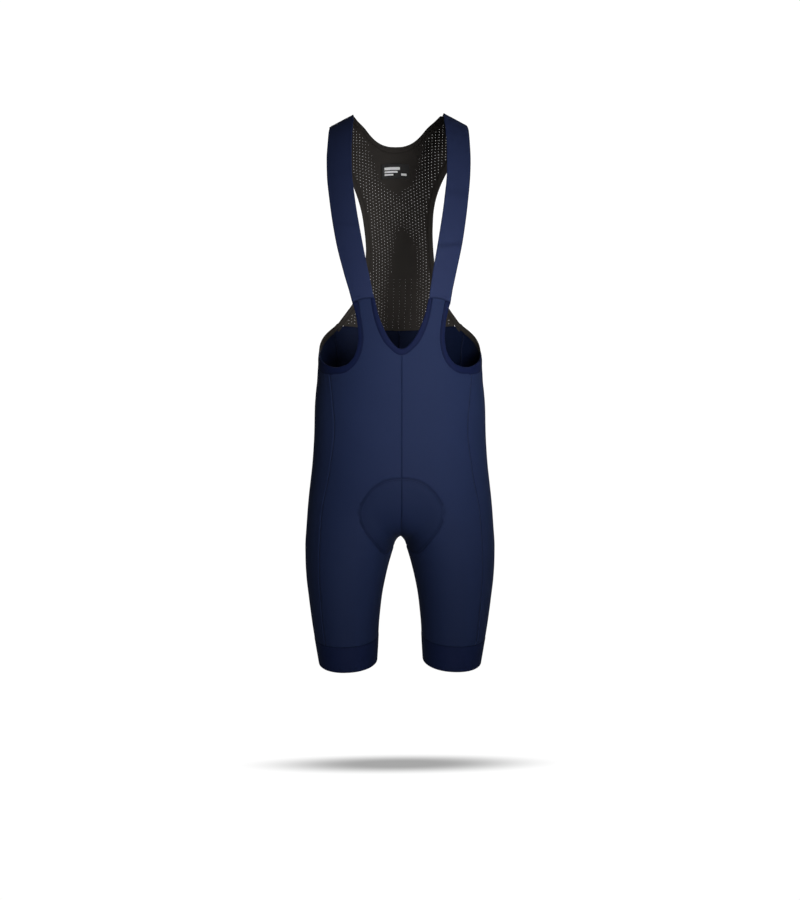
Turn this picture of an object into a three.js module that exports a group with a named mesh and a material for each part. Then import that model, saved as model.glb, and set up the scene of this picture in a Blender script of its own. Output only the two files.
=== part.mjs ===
// Cycling bib shorts, filled out as they are when worn, and hollow.
// Millimetres, +Z up, the front faces -Y. "left" and "right" are the wearer's: left is +X.
// The origin lies midway between the two straps, on the line where they cross the shoulders.
import * as THREE from "three";

// ---- Driving dimensions ----

const CLOTH = 1.4; // wall of knitted panels
const BINDING = 2.2; // folded binding tape
const CUFF = 1.8; // elastic leg band
const STRAP = 1.6; // strap tape
const PAD = 4; // seat pad
const PAD_CLEARANCE = 3; // between a panel's inner face and the pad
const LABEL = 0.8;
const LABEL_CLEARANCE = 1;
const SEAM_INSET = 0.15; // each edge steps back this far, so pieces are 0.3 apart
const BAND_INSET = 0.5; // the knitted bands bend more than their panel, so they step back further
const RAISED = 0.4; // binding stands out from its panel

const CROTCH = -712; // height where the two legs part
const RISE = 64; // height of the rounded stretch under the body, from the crotch up
const FULLNESS = 0.65; // under 1, that stretch bulges out below more than an ellipse does
const CUFF_SEAM = -894.5;
const HEM = -939.5;
const HEM_TILT = { inner: 2.3, back: 6 }; // how far the hem lies above its mean height there
const SECTION_POWER = 2.3; // body sections are ellipses of this power
const LEG_POWER = 2.15;

// Strap line on the shoulder: its height falls away from the neck.
const SHOULDER = { x: 76, height: 10.7, slope: 0.55, rounding: 40, fades: 160 };
const STRAP_END = 2.6; // root of the drop behind the shoulder line where strap meets back

const CLOTH_ROWS = {
  body: [-458, -486, -514, -542, -570, -598, -622, CROTCH + RISE],
  rise: 6, // rows round the underside of the body
  leg: [-716.5, -728, -748, -772, -798, -824, -850, -873, CUFF_SEAM],
};
const COLUMNS = { front: 6, side: 4, backEdge: 2, backSeam: 5 };
const SEAM_ROWS = 3; // between the highest full row and the armhole's lowest corner
const ARM_ROWS = 14;
const CENTRE_ROWS = 10; // between the highest full row and the point of the neck
const NECK_ROWS = SEAM_ROWS + ARM_ROWS - CENTRE_ROWS;
const CENTRE_CROWDING = 1.6; // rows lie closer low down, so that none crosses the armhole's flat floor
const BACK_ROWS = { centre: 12, neck: 7 };

// Body: half width, and depth to the front and to the back, by height.
const BODY = {
  z: [0, -4, -16, -36, -64, -100, -150, -216, -300, -350, -381, -394, -408, -436, -464, -491, -533,
    -561, -590, -618, -646, -674, -702, -731, -760, -940],
  half: [150, 150, 150, 150, 151, 152, 152, 152, 149, 146, 142, 140.5, 141.7, 143.7, 146.4, 148.4, 149.5,
    151, 153.3, 156.5, 159.8, 162.6, 164.5, 166.4, 166.2, 143],
  front: [0, 28, 50, 69, 84, 96, 106, 112, 112, 110, 108, 107, 106, 104, 103, 102.5, 102.5,
    103, 104, 104, 102, 98, 95, 91, 88, 64],
  back: [0, 26, 48, 66, 81, 93, 101, 103, 97, 91, 87.5, 86, 84.5, 83, 83, 84, 88,
    94, 102, 110, 116, 117, 112, 105, 98, 68],
};

// Legs: inner and outer side, and depth to the front and to the back, by height.
const LEG = {
  z: [CROTCH + RISE, CROTCH, -714.5, -720, -734, -760, -790, -820, -850, -876, -905, -945],
  inner: [0, 0, 5, 8.5, 11, 18.4, 25.7, 31.4, 35, 37.3, 38.6, 41],
  outer: [159.4, 165.2, 165.4, 165.8, 166.4, 166.2, 164.6, 161.3, 157.7, 154.2, 149.6, 143],
  front: [102, 94, 93.6, 93, 91, 87, 83, 79, 75, 72, 69, 65],
  back: [114, 106, 105.6, 105, 102, 97, 91, 86, 81, 77, 73, 68],
};

// Seam between front and side panel: distance from the middle, by height.
const SIDE_SEAM = {
  z: [-430, -470, -520, -600, -675, -760, -841, CUFF_SEAM],
  x: [120.5, 116.5, 113, 122, 136, 140, 136, 130],
};

// Edge of the front panel along the neck, and the edge of the opening, from the point up.
const NECK = [
  { x: 0, z: -398, openX: 0, openZ: -388.5 },
  { x: 8, z: -395.5, openX: 6, openZ: -386.5 },
  { x: 16.5, z: -389, openX: 11.5, openZ: -382 },
  { x: 29, z: -375.5, openX: 21.5, openZ: -370 },
  { x: 39.5, z: -354, openX: 31, openZ: -351.5 },
  { x: 46, z: -333, openX: 38.5, openZ: -331 },
  { x: 51, z: -304.7, openX: 44.5, openZ: -305 },
];

// Edge of the front panel along the armhole and the edge of the opening, from the side seam up.
const ARM = [
  { x: 120.5, z: -430, openX: 121.5, openZ: -418 },
  { x: 112, z: -429.5, openX: 113, openZ: -419.8 },
  { x: 102, z: -429, openX: 104, openZ: -420 },
  { x: 92, z: -425.5, openX: 95, openZ: -416.7 },
  { x: 82, z: -418, openX: 86.5, openZ: -410 },
  { x: 73.5, z: -407, openX: 79.5, openZ: -401 },
  { x: 67.5, z: -392, openX: 74.5, openZ: -388 },
  { x: 64.5, z: -374, openX: 72, openZ: -371 },
  { x: 65.5, z: -354, openX: 73, openZ: -352.5 },
  { x: 68.5, z: -333, openX: 75.8, openZ: -333 },
  { x: 73.5, z: -309.2, openX: 81, openZ: -312.5 },
];

// Upper edge of the side and back panels, by place round the body (0.5 is the side, 1 the back's middle).
const TOP_EDGE = {
  u: [0.36, 0.4, 0.44, 0.48, 0.505, 0.54, 0.575, 0.62, 0.69, 0.735],
  z: [-430, -427, -420, -410, -402.5, -391.5, -385, -377, -362.5, -350],
  open: [-418, -415.5, -409.5, -400, -393.5, -382.5, -375.5, -367, -352.5, -340],
};

// Seam between the lower back and the open-knit back panel.
const BACK_SEAM = { u: [0.735, 0.78, 0.85, 0.92, 1], z: [-349.5, -350, -353, -356.5, -358] };

// Side edge of the open-knit panel: edge of the opening by height, up to the strap.
const BACK_EDGE = {
  z: [-340, -324, -310, -285, -255, -225, -195, -152, -123.5, -90, -64, -36, -16, -6.76],
  x: [106.5, 94, 85, 74, 66, 61.5, 61, 64, 70, 83, 95, 107, 113.5, 115.5],
};
const BAND = 9; // width of the bands that edge the open-knit panel

// Neck edge of the back, from the middle up to the strap. Height is measured below the shoulder line.
const SCOOP = [
  { x: 0, z: -58 },
  { x: 12, z: -57 },
  { x: 24, z: -53 },
  { x: 35, z: -46 },
  { x: 45, z: -37 },
  { x: 56, z: -22.5 },
  { x: 67, z: -9.5 },
  { x: 75.5, z: -6.76 },
];
const SCOOP_BAND = 8;

// Straps: inner and outer edge by height below the shoulder line.
const STRAPS = {
  z: [0, -30, -62, -93, -143, -208, -261, -309],
  inner: [75.5, 77.5, 78.5, 78, 72.5, 62, 52.5, 44.5],
  outer: [115.5, 116, 117, 116, 111.5, 102.5, 91.5, 81],
};
const STRAP_SEAM = { innerX: 44.5, inner: -305, outerX: 81, outer: -312.5, dome: 3, gap: 0.5 };
const STRAP_ROWS = { first: -290, front: 12, columns: 4 };

// Seat pad: distance of its edge from the middle at the front, by height; it is wider at the back.
const PAD_OUTLINE = {
  z: [-738, -734, -726, -705, -685, -656, -634, -617.5, -607.5, -603.5],
  x: [0, 26, 37, 51.5, 62.5, 71.5, 59.5, 44.5, 27, 0],
};
const PAD_SHAPE = { bottomRows: [-738, -733], topRows: [-609, -603.5], columns: 4, back: 1.1 };

const TAG = { x: 0, width: 50, top: -78.5, bottom: -98, columns: 4, rows: 2 };

const NAVY = new THREE.MeshStandardMaterial({ color: 0x1e2744, roughness: 0.85 });
const DEEP_NAVY = new THREE.MeshStandardMaterial({ color: 0x151b3c, roughness: 0.8 });
const BLACK_KNIT = new THREE.MeshStandardMaterial({ color: 0x1d1c1a, roughness: 0.9 });
const GREY = new THREE.MeshStandardMaterial({ color: 0x3a3939, roughness: 0.7 });
const FOAM = new THREE.MeshStandardMaterial({ color: 0x22283c, roughness: 0.95 });

// ---- Curves ----

// A smooth curve through a table's rows that never overshoots them (monotone cubic).
function smooth(xs, ys) {
  const up = xs[0] < xs[xs.length - 1];
  const x = up ? xs : [...xs].reverse();
  const y = up ? ys : [...ys].reverse();
  const n = x.length;
  const slope = [];
  for (let i = 0; i < n - 1; i++) slope.push((y[i + 1] - y[i]) / (x[i + 1] - x[i]));
  const tangent = slope.map((s, i) => {
    if (i === 0) return s;
    const before = slope[i - 1];
    return before * s <= 0 ? 0 : (2 * before * s) / (before + s);
  });
  tangent.push(slope[n - 2]);
  return (at) => {
    const p = Math.min(Math.max(at, x[0]), x[n - 1]);
    let i = 0;
    while (i < n - 2 && p > x[i + 1]) i++;
    const step = x[i + 1] - x[i];
    const t = (p - x[i]) / step;
    const rise = y[i + 1] - y[i];
    const a = tangent[i] * step - rise;
    const b = rise - tangent[i + 1] * step;
    return y[i] + t * rise + t * (1 - t) * ((1 - t) * a + t * b);
  };
}

// Depths run to zero at the shoulder line like a root, so they are looked up by the root of the drop.
const drop = (z) => Math.sqrt(Math.max(-z, 0));
const byDrop = (table, column) => {
  const curve = smooth(table.z.map(drop), table[column]);
  return (z) => curve(drop(z));
};
const byHeight = (table, column) => smooth(table.z, table[column]);

const bodyHalf = byHeight(BODY, "half");
const bodyFront = byDrop(BODY, "front");
const bodyBack = byDrop(BODY, "back");
const legInner = byHeight(LEG, "inner");
const legOuter = byHeight(LEG, "outer");
const legFront = byHeight(LEG, "front");
const legBack = byHeight(LEG, "back");
const sideSeamX = byHeight(SIDE_SEAM, "x");
const backEdgeX = byHeight(BACK_EDGE, "x");
const strapInner = byHeight(STRAPS, "inner");
const strapOuter = byHeight(STRAPS, "outer");
const topEdge = smooth(TOP_EDGE.u, TOP_EDGE.z);
const topOpening = smooth(TOP_EDGE.u, TOP_EDGE.open);
const backSeam = smooth(BACK_SEAM.u, BACK_SEAM.z);
const padEdgeX = byHeight(PAD_OUTLINE, "x");

const mix = (a, b, t) => a + (b - a) * t;
const ease = (t) => {
  const c = Math.min(Math.max(t, 0), 1);
  return c * c * (3 - 2 * c);
};
const power = (v, p) => Math.sign(v) * Math.abs(v) ** p;

// ---- The skin that all panels lie on ----

// Angle round the body, 0 at the front's middle and PI at the back's. Low down the places crowd
// towards the middle, where the same places go on round the inside of the leg.
function bodyAngle(u, z) {
  const crowd = mix(1.15, 1.7, ease((-480 - z) / 120));
  const turn = (v) => (Math.PI / 2) * (2 * v) ** crowd;
  return u <= 0.5 ? turn(u) : Math.PI - turn(1 - u);
}

function bodyPoint(u, z) {
  const angle = bodyAngle(u, z);
  const x = bodyHalf(z) * power(Math.sin(angle), 2 / SECTION_POWER);
  const depth = u <= 0.5 ? bodyFront(z) : bodyBack(z);
  const y = -depth * power(Math.cos(angle), 2 / SECTION_POWER);
  const fade = 1 - ease(-z / SHOULDER.fades);
  const beyond = Math.hypot(x, SHOULDER.rounding) - Math.hypot(SHOULDER.x, SHOULDER.rounding);
  const lift = SHOULDER.height - SHOULDER.slope * beyond;
  return new THREE.Vector3(x, y, z + lift * fade);
}

function legPoint(u, z) {
  const angle = 2 * Math.PI * u;
  const middle = (legInner(z) + legOuter(z)) / 2;
  const half = (legOuter(z) - legInner(z)) / 2;
  const depth = u <= 0.5 ? legFront(z) : legBack(z);
  const x = middle - half * power(Math.cos(angle), 2 / LEG_POWER);
  const y = -depth * power(Math.sin(angle), 2 / LEG_POWER);
  return new THREE.Vector3(x, y, z);
}

// One half of the garment. u runs round from the front's middle (or the inside seam) over the side
// to the back's middle, and z is the height at the side. Between CROTCH and CROTCH + RISE the middle
// line runs in a full quarter round from the body's front and back to the crotch point.
function skin(u, z) {
  const k = Math.min(Math.max((z - CROTCH) / RISE, 0), 1);
  const turn = (k * Math.PI) / 2;
  const fromMiddle = Math.min(u, 1 - u);
  const inward = 1 - ease(fromMiddle / 0.22);
  const dip = k > 0 && k < 1 ? RISE * (1 - Math.cos(turn) - k) : 0;
  const low = ease((CROTCH - z) / (CROTCH - CUFF_SEAM));
  const tilt = HEM_TILT.inner * Math.cos(2 * Math.PI * u) - HEM_TILT.back * Math.sin(2 * Math.PI * u);
  const height = z + dip * inward + tilt * low;
  const nearMiddle = Math.sin(turn) ** FULLNESS;
  const atSide = ease((z + 770) / 150);
  const share = mix(nearMiddle, atSide, ease((fromMiddle - 0.06) / 0.2));
  if (share <= 0) return legPoint(u, height);
  if (share >= 1) return bodyPoint(u, height);
  return legPoint(u, height).lerp(bodyPoint(u, height), share);
}

// Outward direction of the skin, from its slopes both ways.
function outward(u, z) {
  const a = Math.max(u - 0.002, 0);
  const b = Math.min(u + 0.002, 1);
  const around = skin(b, z).sub(skin(a, z));
  const along = skin(u, Math.min(z + 0.5, 0)).sub(skin(u, z - 0.5));
  const n = around.cross(along).normalize();
  if (skin(u, z).x < 0.5 && z >= CROTCH) n.setX(0).normalize();
  return n;
}

// Place round the front, or round the back, where the skin is x away from the middle.
function placeAt(x, z, back = false) {
  let low = 0;
  let high = 0.5;
  for (let i = 0; i < 40; i++) {
    const mid = (low + high) / 2;
    if (skin(back ? 1 - mid : mid, z).x < x) low = mid;
    else high = mid;
  }
  return back ? 1 - low : low;
}

const frontSeam = (z) => placeAt(sideSeamX(z), z);
const rearSeam = (z) => 1.02 - frontSeam(z);

// ---- Sheets and walls ----

// A place on the skin: where it is, and which way is out.
const place = (u, z) => ({ at: skin(u, z), out: outward(u, z) });

// Grid of places, as rows from one edge to the other; edges step back for the seams.
function stepBack(grid, edges, inset = SEAM_INSET) {
  const rows = grid.length;
  const columns = grid[0].length;
  const copy = grid.map((row) => row.map((p) => ({ at: p.at.clone(), out: p.out })));
  const move = (r, c, r2, c2) => {
    const way = grid[r2][c2].at.clone().sub(grid[r][c].at);
    if (way.length() > inset * 2) copy[r][c].at.addScaledVector(way.normalize(), inset);
  };
  for (let r = 0; r < rows; r++) {
    if (edges.includes("first")) move(r, 0, r, 1);
    if (edges.includes("last")) move(r, columns - 1, r, columns - 2);
  }
  for (let c = 0; c < columns; c++) {
    if (edges.includes("start")) move(0, c, 1, c);
    if (edges.includes("end")) move(rows - 1, c, rows - 2, c);
  }
  return copy;
}

const mirrored = (grid) =>
  grid.map((row) =>
    row.map((p) => ({
      at: new THREE.Vector3(-p.at.x, p.at.y, p.at.z),
      out: new THREE.Vector3(-p.out.x, p.out.y, p.out.z),
    })),
  );

// A closed wall over one or more grids that share edges. Its outer face lies `raised` outside the
// grids and its inner face `thickness` below that.
function wall(grids, thickness, raised = 0) {
  const places = [];
  const known = new Map();
  const faces = [];
  const indexOf = (p) => {
    const key = [p.at.x, p.at.y, p.at.z].map((v) => Math.round(v * 50)).join();
    if (!known.has(key)) {
      known.set(key, places.length);
      places.push({ at: p.at.clone(), out: new THREE.Vector3() });
    }
    const index = known.get(key);
    places[index].out.add(p.out);
    return index;
  };
  const addFace = (a, b, c) => {
    if (a !== b && b !== c && c !== a) faces.push([a, b, c]);
  };
  for (const grid of grids) {
    const index = grid.map((row) => row.map(indexOf));
    for (let r = 0; r < grid.length - 1; r++) {
      for (let c = 0; c < grid[r].length - 1; c++) {
        addFace(index[r][c], index[r][c + 1], index[r + 1][c + 1]);
        addFace(index[r][c], index[r + 1][c + 1], index[r + 1][c]);
      }
    }
  }
  // Turn each face so that its front looks out.
  for (const f of faces) {
    const [a, b, c] = f.map((i) => places[i].at);
    const facing = b.clone().sub(a).cross(c.clone().sub(a));
    const out = f.reduce((sum, i) => sum.add(places[i].out), new THREE.Vector3());
    if (facing.dot(out) < 0) f.reverse();
  }
  const count = places.length;
  const position = new Float32Array(count * 6);
  places.forEach((p, i) => {
    const n = p.out.normalize();
    p.at.clone().addScaledVector(n, raised).toArray(position, i * 3);
    p.at.clone().addScaledVector(n, raised - thickness).toArray(position, (count + i) * 3);
  });
  const triangles = [];
  const edges = new Map();
  for (const [a, b, c] of faces) {
    triangles.push(a, b, c, count + c, count + b, count + a);
    for (const [p, q] of [[a, b], [b, c], [c, a]]) edges.set(p + "," + q, [p, q]);
  }
  for (const [p, q] of edges.values()) {
    if (edges.has(q + "," + p)) continue;
    triangles.push(p, count + p, count + q, p, count + q, q);
  }
  const geometry = new THREE.BufferGeometry();
  geometry.setAttribute("position", new THREE.BufferAttribute(position, 3));
  geometry.setIndex(triangles);
  return geometry;
}

const root = new THREE.Group();

function add(name, geometry, material) {
  const mesh = new THREE.Mesh(geometry, material);
  mesh.name = name;
  root.add(mesh);
}

// The same piece on both sides of the body.
function addPair(name, grid, thickness, material, raised = 0) {
  add(name + "_left", wall([grid], thickness, raised), material);
  add(name + "_right", wall([mirrored(grid)], thickness, raised), material);
}

// ---- Rows that neighbouring panels share ----

const riseRows = [];
for (let i = 1; i <= CLOTH_ROWS.rise; i++) riseRows.push(CROTCH + RISE * (1 - i / CLOTH_ROWS.rise));
const bodyRows = [...CLOTH_ROWS.body, ...riseRows, ...CLOTH_ROWS.leg];
const highestRow = bodyRows[0];

const range = (count) => Array.from({ length: count + 1 }, (_, i) => i / count);

// Rows of a table of edge points, read at a share t of its length, x turned into a place round the body.
function edgeCurve(rows, xKey, zKey, back = false) {
  const steps = rows.map((_, i) => i / (rows.length - 1));
  const place = smoothed(steps, rows.map((row) => placeAt(row[xKey], row[zKey], back)));
  const height = smoothed(steps, rows.map((row) => row[zKey]));
  return (t) => ({ u: place(t), z: height(t) });
}

// A smooth curve through values at even steps that may pass them a little (Catmull-Rom).
function smoothed(steps, values) {
  const points = values.map((v, i) => new THREE.Vector3(steps[i], v, 0));
  const n = points.length - 1;
  const before = points[0].clone().multiplyScalar(2).sub(points[1]);
  const after = points[n].clone().multiplyScalar(2).sub(points[n - 1]);
  const all = [before, ...points, after];
  return (t) => {
    const k = Math.min(Math.max(t, 0), 1) * n;
    const i = Math.min(Math.floor(k), n - 1);
    const [a, b, c, d] = [0, 1, 2, 3].map((j) => all[i + j].y);
    const f = k - i;
    return 0.5 * (2 * b + (c - a) * f + (2 * a - 5 * b + 4 * c - d) * f * f + (3 * (b - c) + d - a) * f ** 3);
  };
}

const neckEdge = edgeCurve(NECK, "x", "z");
const neckOpening = edgeCurve(NECK, "openX", "openZ");
const armEdge = edgeCurve(ARM, "x", "z");
const armOpening = edgeCurve(ARM, "openX", "openZ");

// Height of a row of the side and back panels above the highest full row, at place u.
const upperRow = (top, t) => mix(highestRow, top, t);

// The seam between strap and front arches a little across the strap.
function strapSeam(x) {
  const across = (x - STRAP_SEAM.innerX) / (STRAP_SEAM.outerX - STRAP_SEAM.innerX);
  const s = Math.min(Math.max(across, 0), 1);
  return mix(STRAP_SEAM.inner, STRAP_SEAM.outer, s) + STRAP_SEAM.dome * Math.sin(Math.PI * s);
}

// ---- Front panels ----

function frontGrid() {
  const rows = [];
  for (const z of [...bodyRows].reverse()) {
    rows.push({ from: { u: 0, z }, to: { u: frontSeam(z), z } });
  }
  const corner = armEdge(0);
  const point = neckEdge(0);
  const upper = CENTRE_ROWS + NECK_ROWS;
  for (let i = 1; i <= upper; i++) {
    const from = i <= CENTRE_ROWS
      ? { u: 0, z: mix(highestRow, point.z, (i / CENTRE_ROWS) ** CENTRE_CROWDING) }
      : neckEdge((i - CENTRE_ROWS) / NECK_ROWS);
    const seamZ = mix(highestRow, corner.z, i / SEAM_ROWS);
    const to = i <= SEAM_ROWS ? { u: frontSeam(seamZ), z: seamZ } : armEdge((i - SEAM_ROWS) / ARM_ROWS);
    rows.push({ from, to });
  }
  const last = rows.length - 1;
  return rows.map(({ from, to }, r) =>
    range(COLUMNS.front).map((s) => {
      const u = mix(from.u, to.u, s);
      const z = mix(from.z, to.z, s);
      return place(u, r === last ? strapSeam(skin(u, z).x) : z);
    }),
  );
}

addPair("front", stepBack(frontGrid(), ["first", "last", "start", "end"]), CLOTH, NAVY);

// ---- Side panels ----

const sidePlaces = (z) => range(COLUMNS.side).map((s) => mix(frontSeam(z), rearSeam(z), s));

function sideGrid() {
  const rows = [...bodyRows].reverse().map((z) => sidePlaces(z).map((u) => place(u, z)));
  const top = sidePlaces(ARM[0].z);
  for (let i = 1; i <= SEAM_ROWS; i++) {
    const t = i / SEAM_ROWS;
    rows.push(
      top.map((u, c) => {
        const z = upperRow(c === 0 ? ARM[0].z : topEdge(u), t);
        if (c === 0) return place(frontSeam(z), z);
        return place(mix(sidePlaces(highestRow)[c], u, t), z);
      }),
    );
  }
  return rows;
}

addPair("side", stepBack(sideGrid(), ["first", "last", "start", "end"]), CLOTH, NAVY);

// ---- Back panels: seat and lower back ----

// Places across the back panel, from the side seam by the corner of the open-knit panel to the middle.
function backPlaces(start) {
  const corner = mix(start, 1, (BACK_SEAM.u[0] - rearSeam(ARM[0].z)) / (1 - rearSeam(ARM[0].z)));
  const outer = range(COLUMNS.backEdge).map((s) => mix(start, corner, s));
  const inner = range(COLUMNS.backSeam).slice(1).map((s) => mix(corner, 1, s));
  return [...outer, ...inner];
}

function backGrid() {
  const rows = [...bodyRows].reverse().map((z) => backPlaces(rearSeam(z)).map((u) => place(u, z)));
  const top = backPlaces(rearSeam(ARM[0].z));
  const below = backPlaces(rearSeam(highestRow));
  for (let i = 1; i <= SEAM_ROWS; i++) {
    const t = i / SEAM_ROWS;
    rows.push(
      top.map((u, c) => {
        const edge = c <= COLUMNS.backEdge ? topEdge(u) : backSeam(u);
        return place(mix(below[c], u, t), upperRow(edge, t));
      }),
    );
  }
  return rows;
}

addPair("back", stepBack(backGrid(), ["first", "last", "start", "end"]), CLOTH, NAVY);

// ---- Leg bands ----

function cuffGrid() {
  const round = [
    ...range(COLUMNS.front).map((s) => s * frontSeam(CUFF_SEAM)),
    ...sidePlaces(CUFF_SEAM).slice(1),
    ...backPlaces(rearSeam(CUFF_SEAM)).slice(1),
  ];
  return [0, 0.5, 1].map((t) => round.map((u) => place(u, mix(HEM, CUFF_SEAM, t))));
}

addPair("cuff", stepBack(cuffGrid(), ["end"]), CUFF, DEEP_NAVY, CUFF - CLOTH);

// ---- Open-knit back panel, its bands and its label ----

// Side edge: u and z at a share t of the way from the lower back's seam up to the strap.
const BACK_TOP = -(STRAP_END ** 2);
function backEdgeAt(t, inset = 0) {
  const from = drop(TOP_EDGE.open.at(-1));
  const r = mix(from, STRAP_END, t);
  const z = -r * r;
  return { u: placeAt(backEdgeX(z) - inset, z, true), z };
}

function scoopAt(t, inset = 0) {
  const steps = SCOOP.map((_, i) => i / (SCOOP.length - 1));
  const x = smoothed(steps, SCOOP.map((row) => row.x))(t);
  const z = smoothed(steps, SCOOP.map((row) => row.z))(t);
  // The band's lower edge lies inset away, straight down in the middle and outwards at the strap.
  const lean = ease(t);
  const lowered = Math.min(z - inset * (1 - lean), BACK_TOP);
  return { u: placeAt(x + inset * lean, lowered, true), z: lowered };
}

function openKnitGrid() {
  const seam = range(COLUMNS.backSeam).map((s) => mix(1, BACK_SEAM.u[0], s));
  const rows = [seam.map((u) => place(u, backSeam(u)))];
  const centreTop = scoopAt(0, SCOOP_BAND);
  const total = BACK_ROWS.centre + BACK_ROWS.neck;
  for (let i = 1; i <= total; i++) {
    const low = mix(drop(BACK_SEAM.z.at(-1)), drop(centreTop.z), i / BACK_ROWS.centre);
    const from = i <= BACK_ROWS.centre
      ? { u: 1, z: -low * low }
      : scoopAt((i - BACK_ROWS.centre) / BACK_ROWS.neck, SCOOP_BAND);
    const to = backEdgeAt(i / total, BAND);
    rows.push(
      range(COLUMNS.backSeam).map((s) => {
        const r = mix(drop(from.z), drop(to.z), s);
        return place(mix(from.u, to.u, s), -r * r);
      }),
    );
  }
  return rows;
}

const knitHalf = stepBack(openKnitGrid(), ["last", "start", "end"]);
add("back_mesh", wall([knitHalf, mirrored(knitHalf)], CLOTH), BLACK_KNIT);

// A strip between two lists of places, the first along the panel and the second along the opening.
const strip = (panelEdge, openEdge) => [panelEdge, openEdge].map((edge) => edge.map((p) => place(p.u, p.z)));

function backBandGrid() {
  const sideTop = sidePlaces(ARM[0].z).slice(COLUMNS.side / 2);
  const backTop = backPlaces(rearSeam(ARM[0].z)).slice(1, COLUMNS.backEdge + 1);
  const low = [...sideTop, ...backTop];
  const total = BACK_ROWS.centre + BACK_ROWS.neck;
  const high = range(total).slice(1);
  const inner = [...low.map((u) => ({ u, z: topEdge(u) })), ...high.map((t) => backEdgeAt(t, BAND))];
  const outer = [...low.map((u) => ({ u, z: topOpening(u) })), ...high.map((t) => backEdgeAt(t))];
  return strip(inner, outer);
}

const backBand = stepBack(backBandGrid(), ["start", "first", "last"], BAND_INSET);
addPair("back_edge", backBand, BINDING, BLACK_KNIT, RAISED);

function scoopBand() {
  const share = range(BACK_ROWS.neck);
  const grid = strip(share.map((t) => scoopAt(t, SCOOP_BAND)), share.map((t) => scoopAt(t)));
  return stepBack(grid, ["start", "last"]);
}

add("back_neck_band", wall([scoopBand(), mirrored(scoopBand())], BINDING, RAISED), BLACK_KNIT);

function labelGrid() {
  return range(TAG.rows).map((t) =>
    range(TAG.columns).map((s) => {
      const x = TAG.x + TAG.width * (s - 0.5);
      const z = mix(TAG.bottom, TAG.top, t);
      const p = place(placeAt(Math.abs(x), z, true), z);
      return x < 0 ? mirrored([[p]])[0][0] : p;
    }),
  );
}

add("label", wall([labelGrid()], LABEL, -CLOTH - LABEL_CLEARANCE), GREY);

// ---- Straps ----

// One row of the strap, r the root of the drop from the shoulder line: below zero on the front.
function strapRow(r) {
  const z = -r * r;
  return range(STRAP_ROWS.columns).map((s) => {
    const p = place(placeAt(mix(strapInner(z), strapOuter(z), s), z, r > 0), z);
    if (Math.abs(r) < 0.01) p.out.set(0, 0, 1);
    return p;
  });
}

function strapGrid() {
  const seam = range(STRAP_ROWS.columns).map((s) => {
    const x = mix(STRAP_SEAM.innerX, STRAP_SEAM.outerX, s);
    const z = strapSeam(x) + STRAP_SEAM.gap;
    return place(placeAt(x, z), z);
  });
  const from = -drop(STRAP_ROWS.first);
  const front = range(STRAP_ROWS.front).map((t) => strapRow(mix(from, 0, t)));
  return [seam, ...front, strapRow(STRAP_END / 2), strapRow(STRAP_END)];
}

addPair("strap", stepBack(strapGrid(), ["start", "end"]), STRAP, NAVY, 0.2);

// ---- Bindings ----

function neckBindingGrid() {
  const share = range(NECK_ROWS);
  return stepBack(strip(share.map(neckEdge), share.map(neckOpening)), ["start", "last"]);
}

add("neck_binding", wall([neckBindingGrid(), mirrored(neckBindingGrid())], BINDING, RAISED), DEEP_NAVY);

function armBindingGrid() {
  const share = range(ARM_ROWS).reverse();
  const side = sidePlaces(ARM[0].z).slice(1, COLUMNS.side / 2 + 1);
  const inner = [...share.map(armEdge), ...side.map((u) => ({ u, z: topEdge(u) }))];
  const outer = [...share.map(armOpening), ...side.map((u) => ({ u, z: topOpening(u) }))];
  return stepBack(strip(inner, outer), ["start", "first", "last"]);
}

addPair("armhole_binding", armBindingGrid(), BINDING, DEEP_NAVY, RAISED);

// ---- Seat pad, on the inside ----

// Its rows are the panels' rows between its two ends, so it follows their facets.
const padRows = [
  ...PAD_SHAPE.bottomRows,
  ...bodyRows.filter((z) => z > PAD_SHAPE.bottomRows[1] && z < PAD_SHAPE.topRows[0]).reverse(),
  ...PAD_SHAPE.topRows,
];

function padGrid(back) {
  const reach = back ? PAD_SHAPE.back : 1;
  return padRows.map((z) => {
    const edge = placeAt(padEdgeX(z), z);
    return range(PAD_SHAPE.columns).map((s) => {
      const u = s * reach * edge;
      return place(back ? 1 - u : u, z);
    });
  });
}

const padHalves = [padGrid(false), padGrid(true)];
add("seat_pad", wall([...padHalves, ...padHalves.map(mirrored)], PAD, -CLOTH - PAD_CLEARANCE), FOAM);

export default root;
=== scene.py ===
"""Cycling bib shorts: knitted panels, bound edges, leg bands, straps, an open-knit back and a seat pad.

Sizes are millimetres in the classes and metres in the finished meshes. The front faces -Y, +Z is up,
and left is the wearer's left, +X. Every panel lies on one form, a function of a place round the body (u)
and a height (z), so neighbouring panels share their seams.
"""
import logging
import math
from dataclasses import dataclass, field
from enum import Enum
from typing import Sequence

import bpy
import numpy as np
from mathutils import Matrix, Vector


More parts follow.
